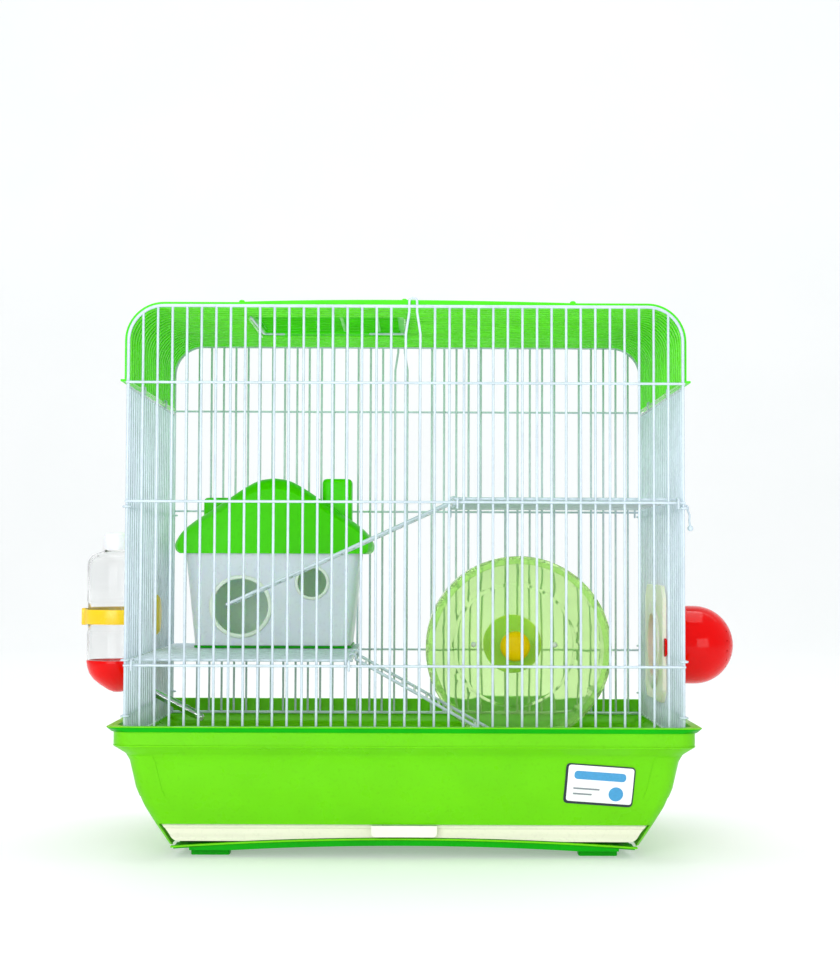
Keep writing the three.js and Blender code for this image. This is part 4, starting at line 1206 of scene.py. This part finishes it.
def make_port():
    low, high = box_mm("side_plate")
    collar_low, collar_high = box_mm("tunnel_collar")
    z = centre_mm("tunnel_dome")[2]
    centre = (0, 0, z)
    ring_face, inside, outside = low.x + 2.4, HALF_WIDTH - 4.9, HALF_WIDTH - 3.6
    half_y, corner = high.y, 9.0
    outline = [
        (-half_y + corner, low.z), (half_y - corner, low.z), (half_y, low.z + corner),
        (half_y, high.z - corner),
        (half_y - corner, high.z), (-half_y + corner, high.z), (-half_y, high.z - corner),
        (-half_y, low.z + corner),
    ]
    edge = HALF_WIDTH - 2.0
    plate = slab(fillet(outline, 1.5, 3, True), "X", inside, edge)
    pocket = slab([(y * 0.95, z + (height - z) * 0.95) for y, height in outline], "X", outside, edge + 1)
    notch = block((outside, -half_y - 1, z - 6.5), (edge + 1, -half_y + 5, z + 6.5))
    bore = turned([(23.9, inside - 3), (23.9, outside + 3)], ALONG_X, centre)
    piece("port_plate", plate, cream, "cage_top", ["side_plate"],
          cuts=[bore, pocket, notch], bevel=0.4)
    ring = [
        (23, ring_face), (31.9, ring_face), (32.5, ring_face + 0.6), (32.5, inside + 0.4),
        (24.8, inside + 0.4),
        (24.8, high.x - 0.4), (24.4, high.x), (23, high.x),
    ]
    piece("port_sleeve", turned(ring, ALONG_X, centre, 96, wrap=True), cream, "cage_top",
          bevel=0.3)
    face, back = collar_low.x, HALF_WIDTH - 1.7
    collar = [
        (25.1, face), (31, face), (31, back), (26.9, back), (26.9, collar_high.x - 0.5),
        (26.4, collar_high.x),
        (25.1, collar_high.x),
    ]
    tab = rounded_block((face, collar_low.y, z - 5.8), (back, -29, z + 5.8), 2, "X")
    lock = turned(collar, ALONG_X, centre, 96, wrap=True)
    piece("port_lock_ring", lock, red, "cage_top", ["tunnel_collar"], adds=[tab], bevel=0.3)


def make_dome():
    low, high = box_mm("tunnel_dome")
    z = centre_mm("tunnel_dome")[2]
    radius = half_mm("tunnel_dome")[2]
    middle = high.x - radius
    inner = radius - 1.8
    mouth = [(inner, low.x), (radius - 0.5, low.x), (radius, low.x + 0.6)]
    profile = mouth + arc(0, middle, radius, 0, 90, 24) + arc(0, middle, inner, 90, 0, 24)
    holes = []
    for count, angle in ((6, 13), (11, 27), (16, 41)):
        polar = math.radians(angle)
        for i in range(count):
            turn = 2 * math.pi * (i + 0.5) / count
            out = math.sin(polar)
            direction = Vector((math.cos(polar), out * math.cos(turn), out * math.sin(turn)))
            start = Vector((middle, 0, z)) + direction * (radius - 5)
            holes.append(turned([(0.75, 0), (0.75, 8)], direction, start, 12))
    shell = turned(profile, ALONG_X, (0, 0, z), 96)
    piece("dome", shell, red, "tunnel", ["tunnel_dome"], cuts=[together(holes)])


# ---- Stage ----

def make_floor():
    """A pale sheet that runs back and curves up behind the object. It can't be seen from below."""
    surface = Surface("floor")
    surface.colour_by(surface.noise(3, 2), (0.7, 0.71, 0.71, 1), (0.72, 0.725, 0.725, 1))
    surface.shader.inputs["Roughness"].default_value = 0.7
    surface.shader.inputs["Emission Color"].default_value = (1, 1, 1, 1)
    surface.shader.inputs["Emission Strength"].default_value = 0.32
    nodes, links = surface.nodes, surface.links
    side = nodes.new("ShaderNodeNewGeometry")
    hollow = nodes.new("ShaderNodeBsdfTransparent")
    choose = nodes.new("ShaderNodeMixShader")
    links.new(side.outputs["Backfacing"], choose.inputs["Fac"])
    links.new(surface.shader.outputs["BSDF"], choose.inputs[1])
    links.new(hollow.outputs["BSDF"], choose.inputs[2])
    links.new(choose.outputs["Shader"], nodes["Material Output"].inputs["Surface"])
    bend = arc(2600, 1200, 1200, 270, 360, 16)
    points, faces = [], []
    for i, (y, z) in enumerate([(-4000, 0), *bend, (3800, 4500)]):
        points += [(-5000, y, z - 0.05), (5000, y, z - 0.05)]
        if i:
            faces.append((2 * i - 2, 2 * i - 1, 2 * i + 1, 2 * i))
    mesh = bpy.data.meshes.new("floor")
    mesh.from_pydata([Vector(point) * MM for point in points], [], faces)
    mesh.materials.append(surface.material)
    mesh.shade_smooth()
    floor = bpy.data.objects.new("floor", mesh)
    scene.collection.objects.link(floor)


def softbox(name, place, target, size, energy):
    data = bpy.data.lights.new(name, "AREA")
    data.shape = "RECTANGLE"
    data.size, data.size_y = size
    data.energy = energy
    lamp = bpy.data.objects.new(name, data)
    lamp.location = place
    lamp.rotation_euler = (Vector(target) - Vector(place)).to_track_quat("-Z", "Y").to_euler()
    scene.collection.objects.link(lamp)


def make_lights():
    world = bpy.data.worlds.new("studio")
    scene.world = world
    world.use_nodes = True
    world.node_tree.nodes["Background"].inputs["Color"].default_value = (0.93, 0.985, 1.0, 1)
    world.node_tree.nodes["Background"].inputs["Strength"].default_value = 0.55
    middle = (0, 0, 0.2)
    softbox("front_key", (-0.7, -1.9, 0.55), middle, (1.2, 1.0), 17)
    softbox("front_fill", (0.9, -1.8, 0.3), middle, (1.0, 1.0), 9)
    softbox("top", (0, 0.1, 1.4), middle, (1.3, 1.1), 10)
    softbox("backdrop_wash", (0, 1.2, 2.6), (0, 3.6, 0.6), (5, 1.5), 30)


def make_camera():
    data = bpy.data.cameras.new("camera")
    data.sensor_width = 36.0
    data.lens = 68.1
    camera = bpy.data.objects.new("camera", data)
    scene.collection.objects.link(camera)
    pitch, yaw, roll = math.radians(92.6), math.radians(-0.095), math.radians(0.2)
    turn = Matrix.Rotation(yaw, 4, "Z") @ Matrix.Rotation(pitch, 4, "X") @ Matrix.Rotation(roll, 4, "Z")
    camera.matrix_world = Matrix.Translation((0.008, -1.36, 0.203)) @ turn
    scene.camera = camera


# ---- The cage ----

make_camera()
make_tub()
make_stand()
make_drawer()
make_label()
make_panels()
make_wire_fittings()
make_cover()
make_hatch()
make_house()
make_house_roof()
make_wheel()
make_wheel_mount()
make_bottle()
make_bottle_band()
make_spout()
make_port()
make_dome()
make_floor()
make_lights()
scene.view_settings.view_transform = "Standard"
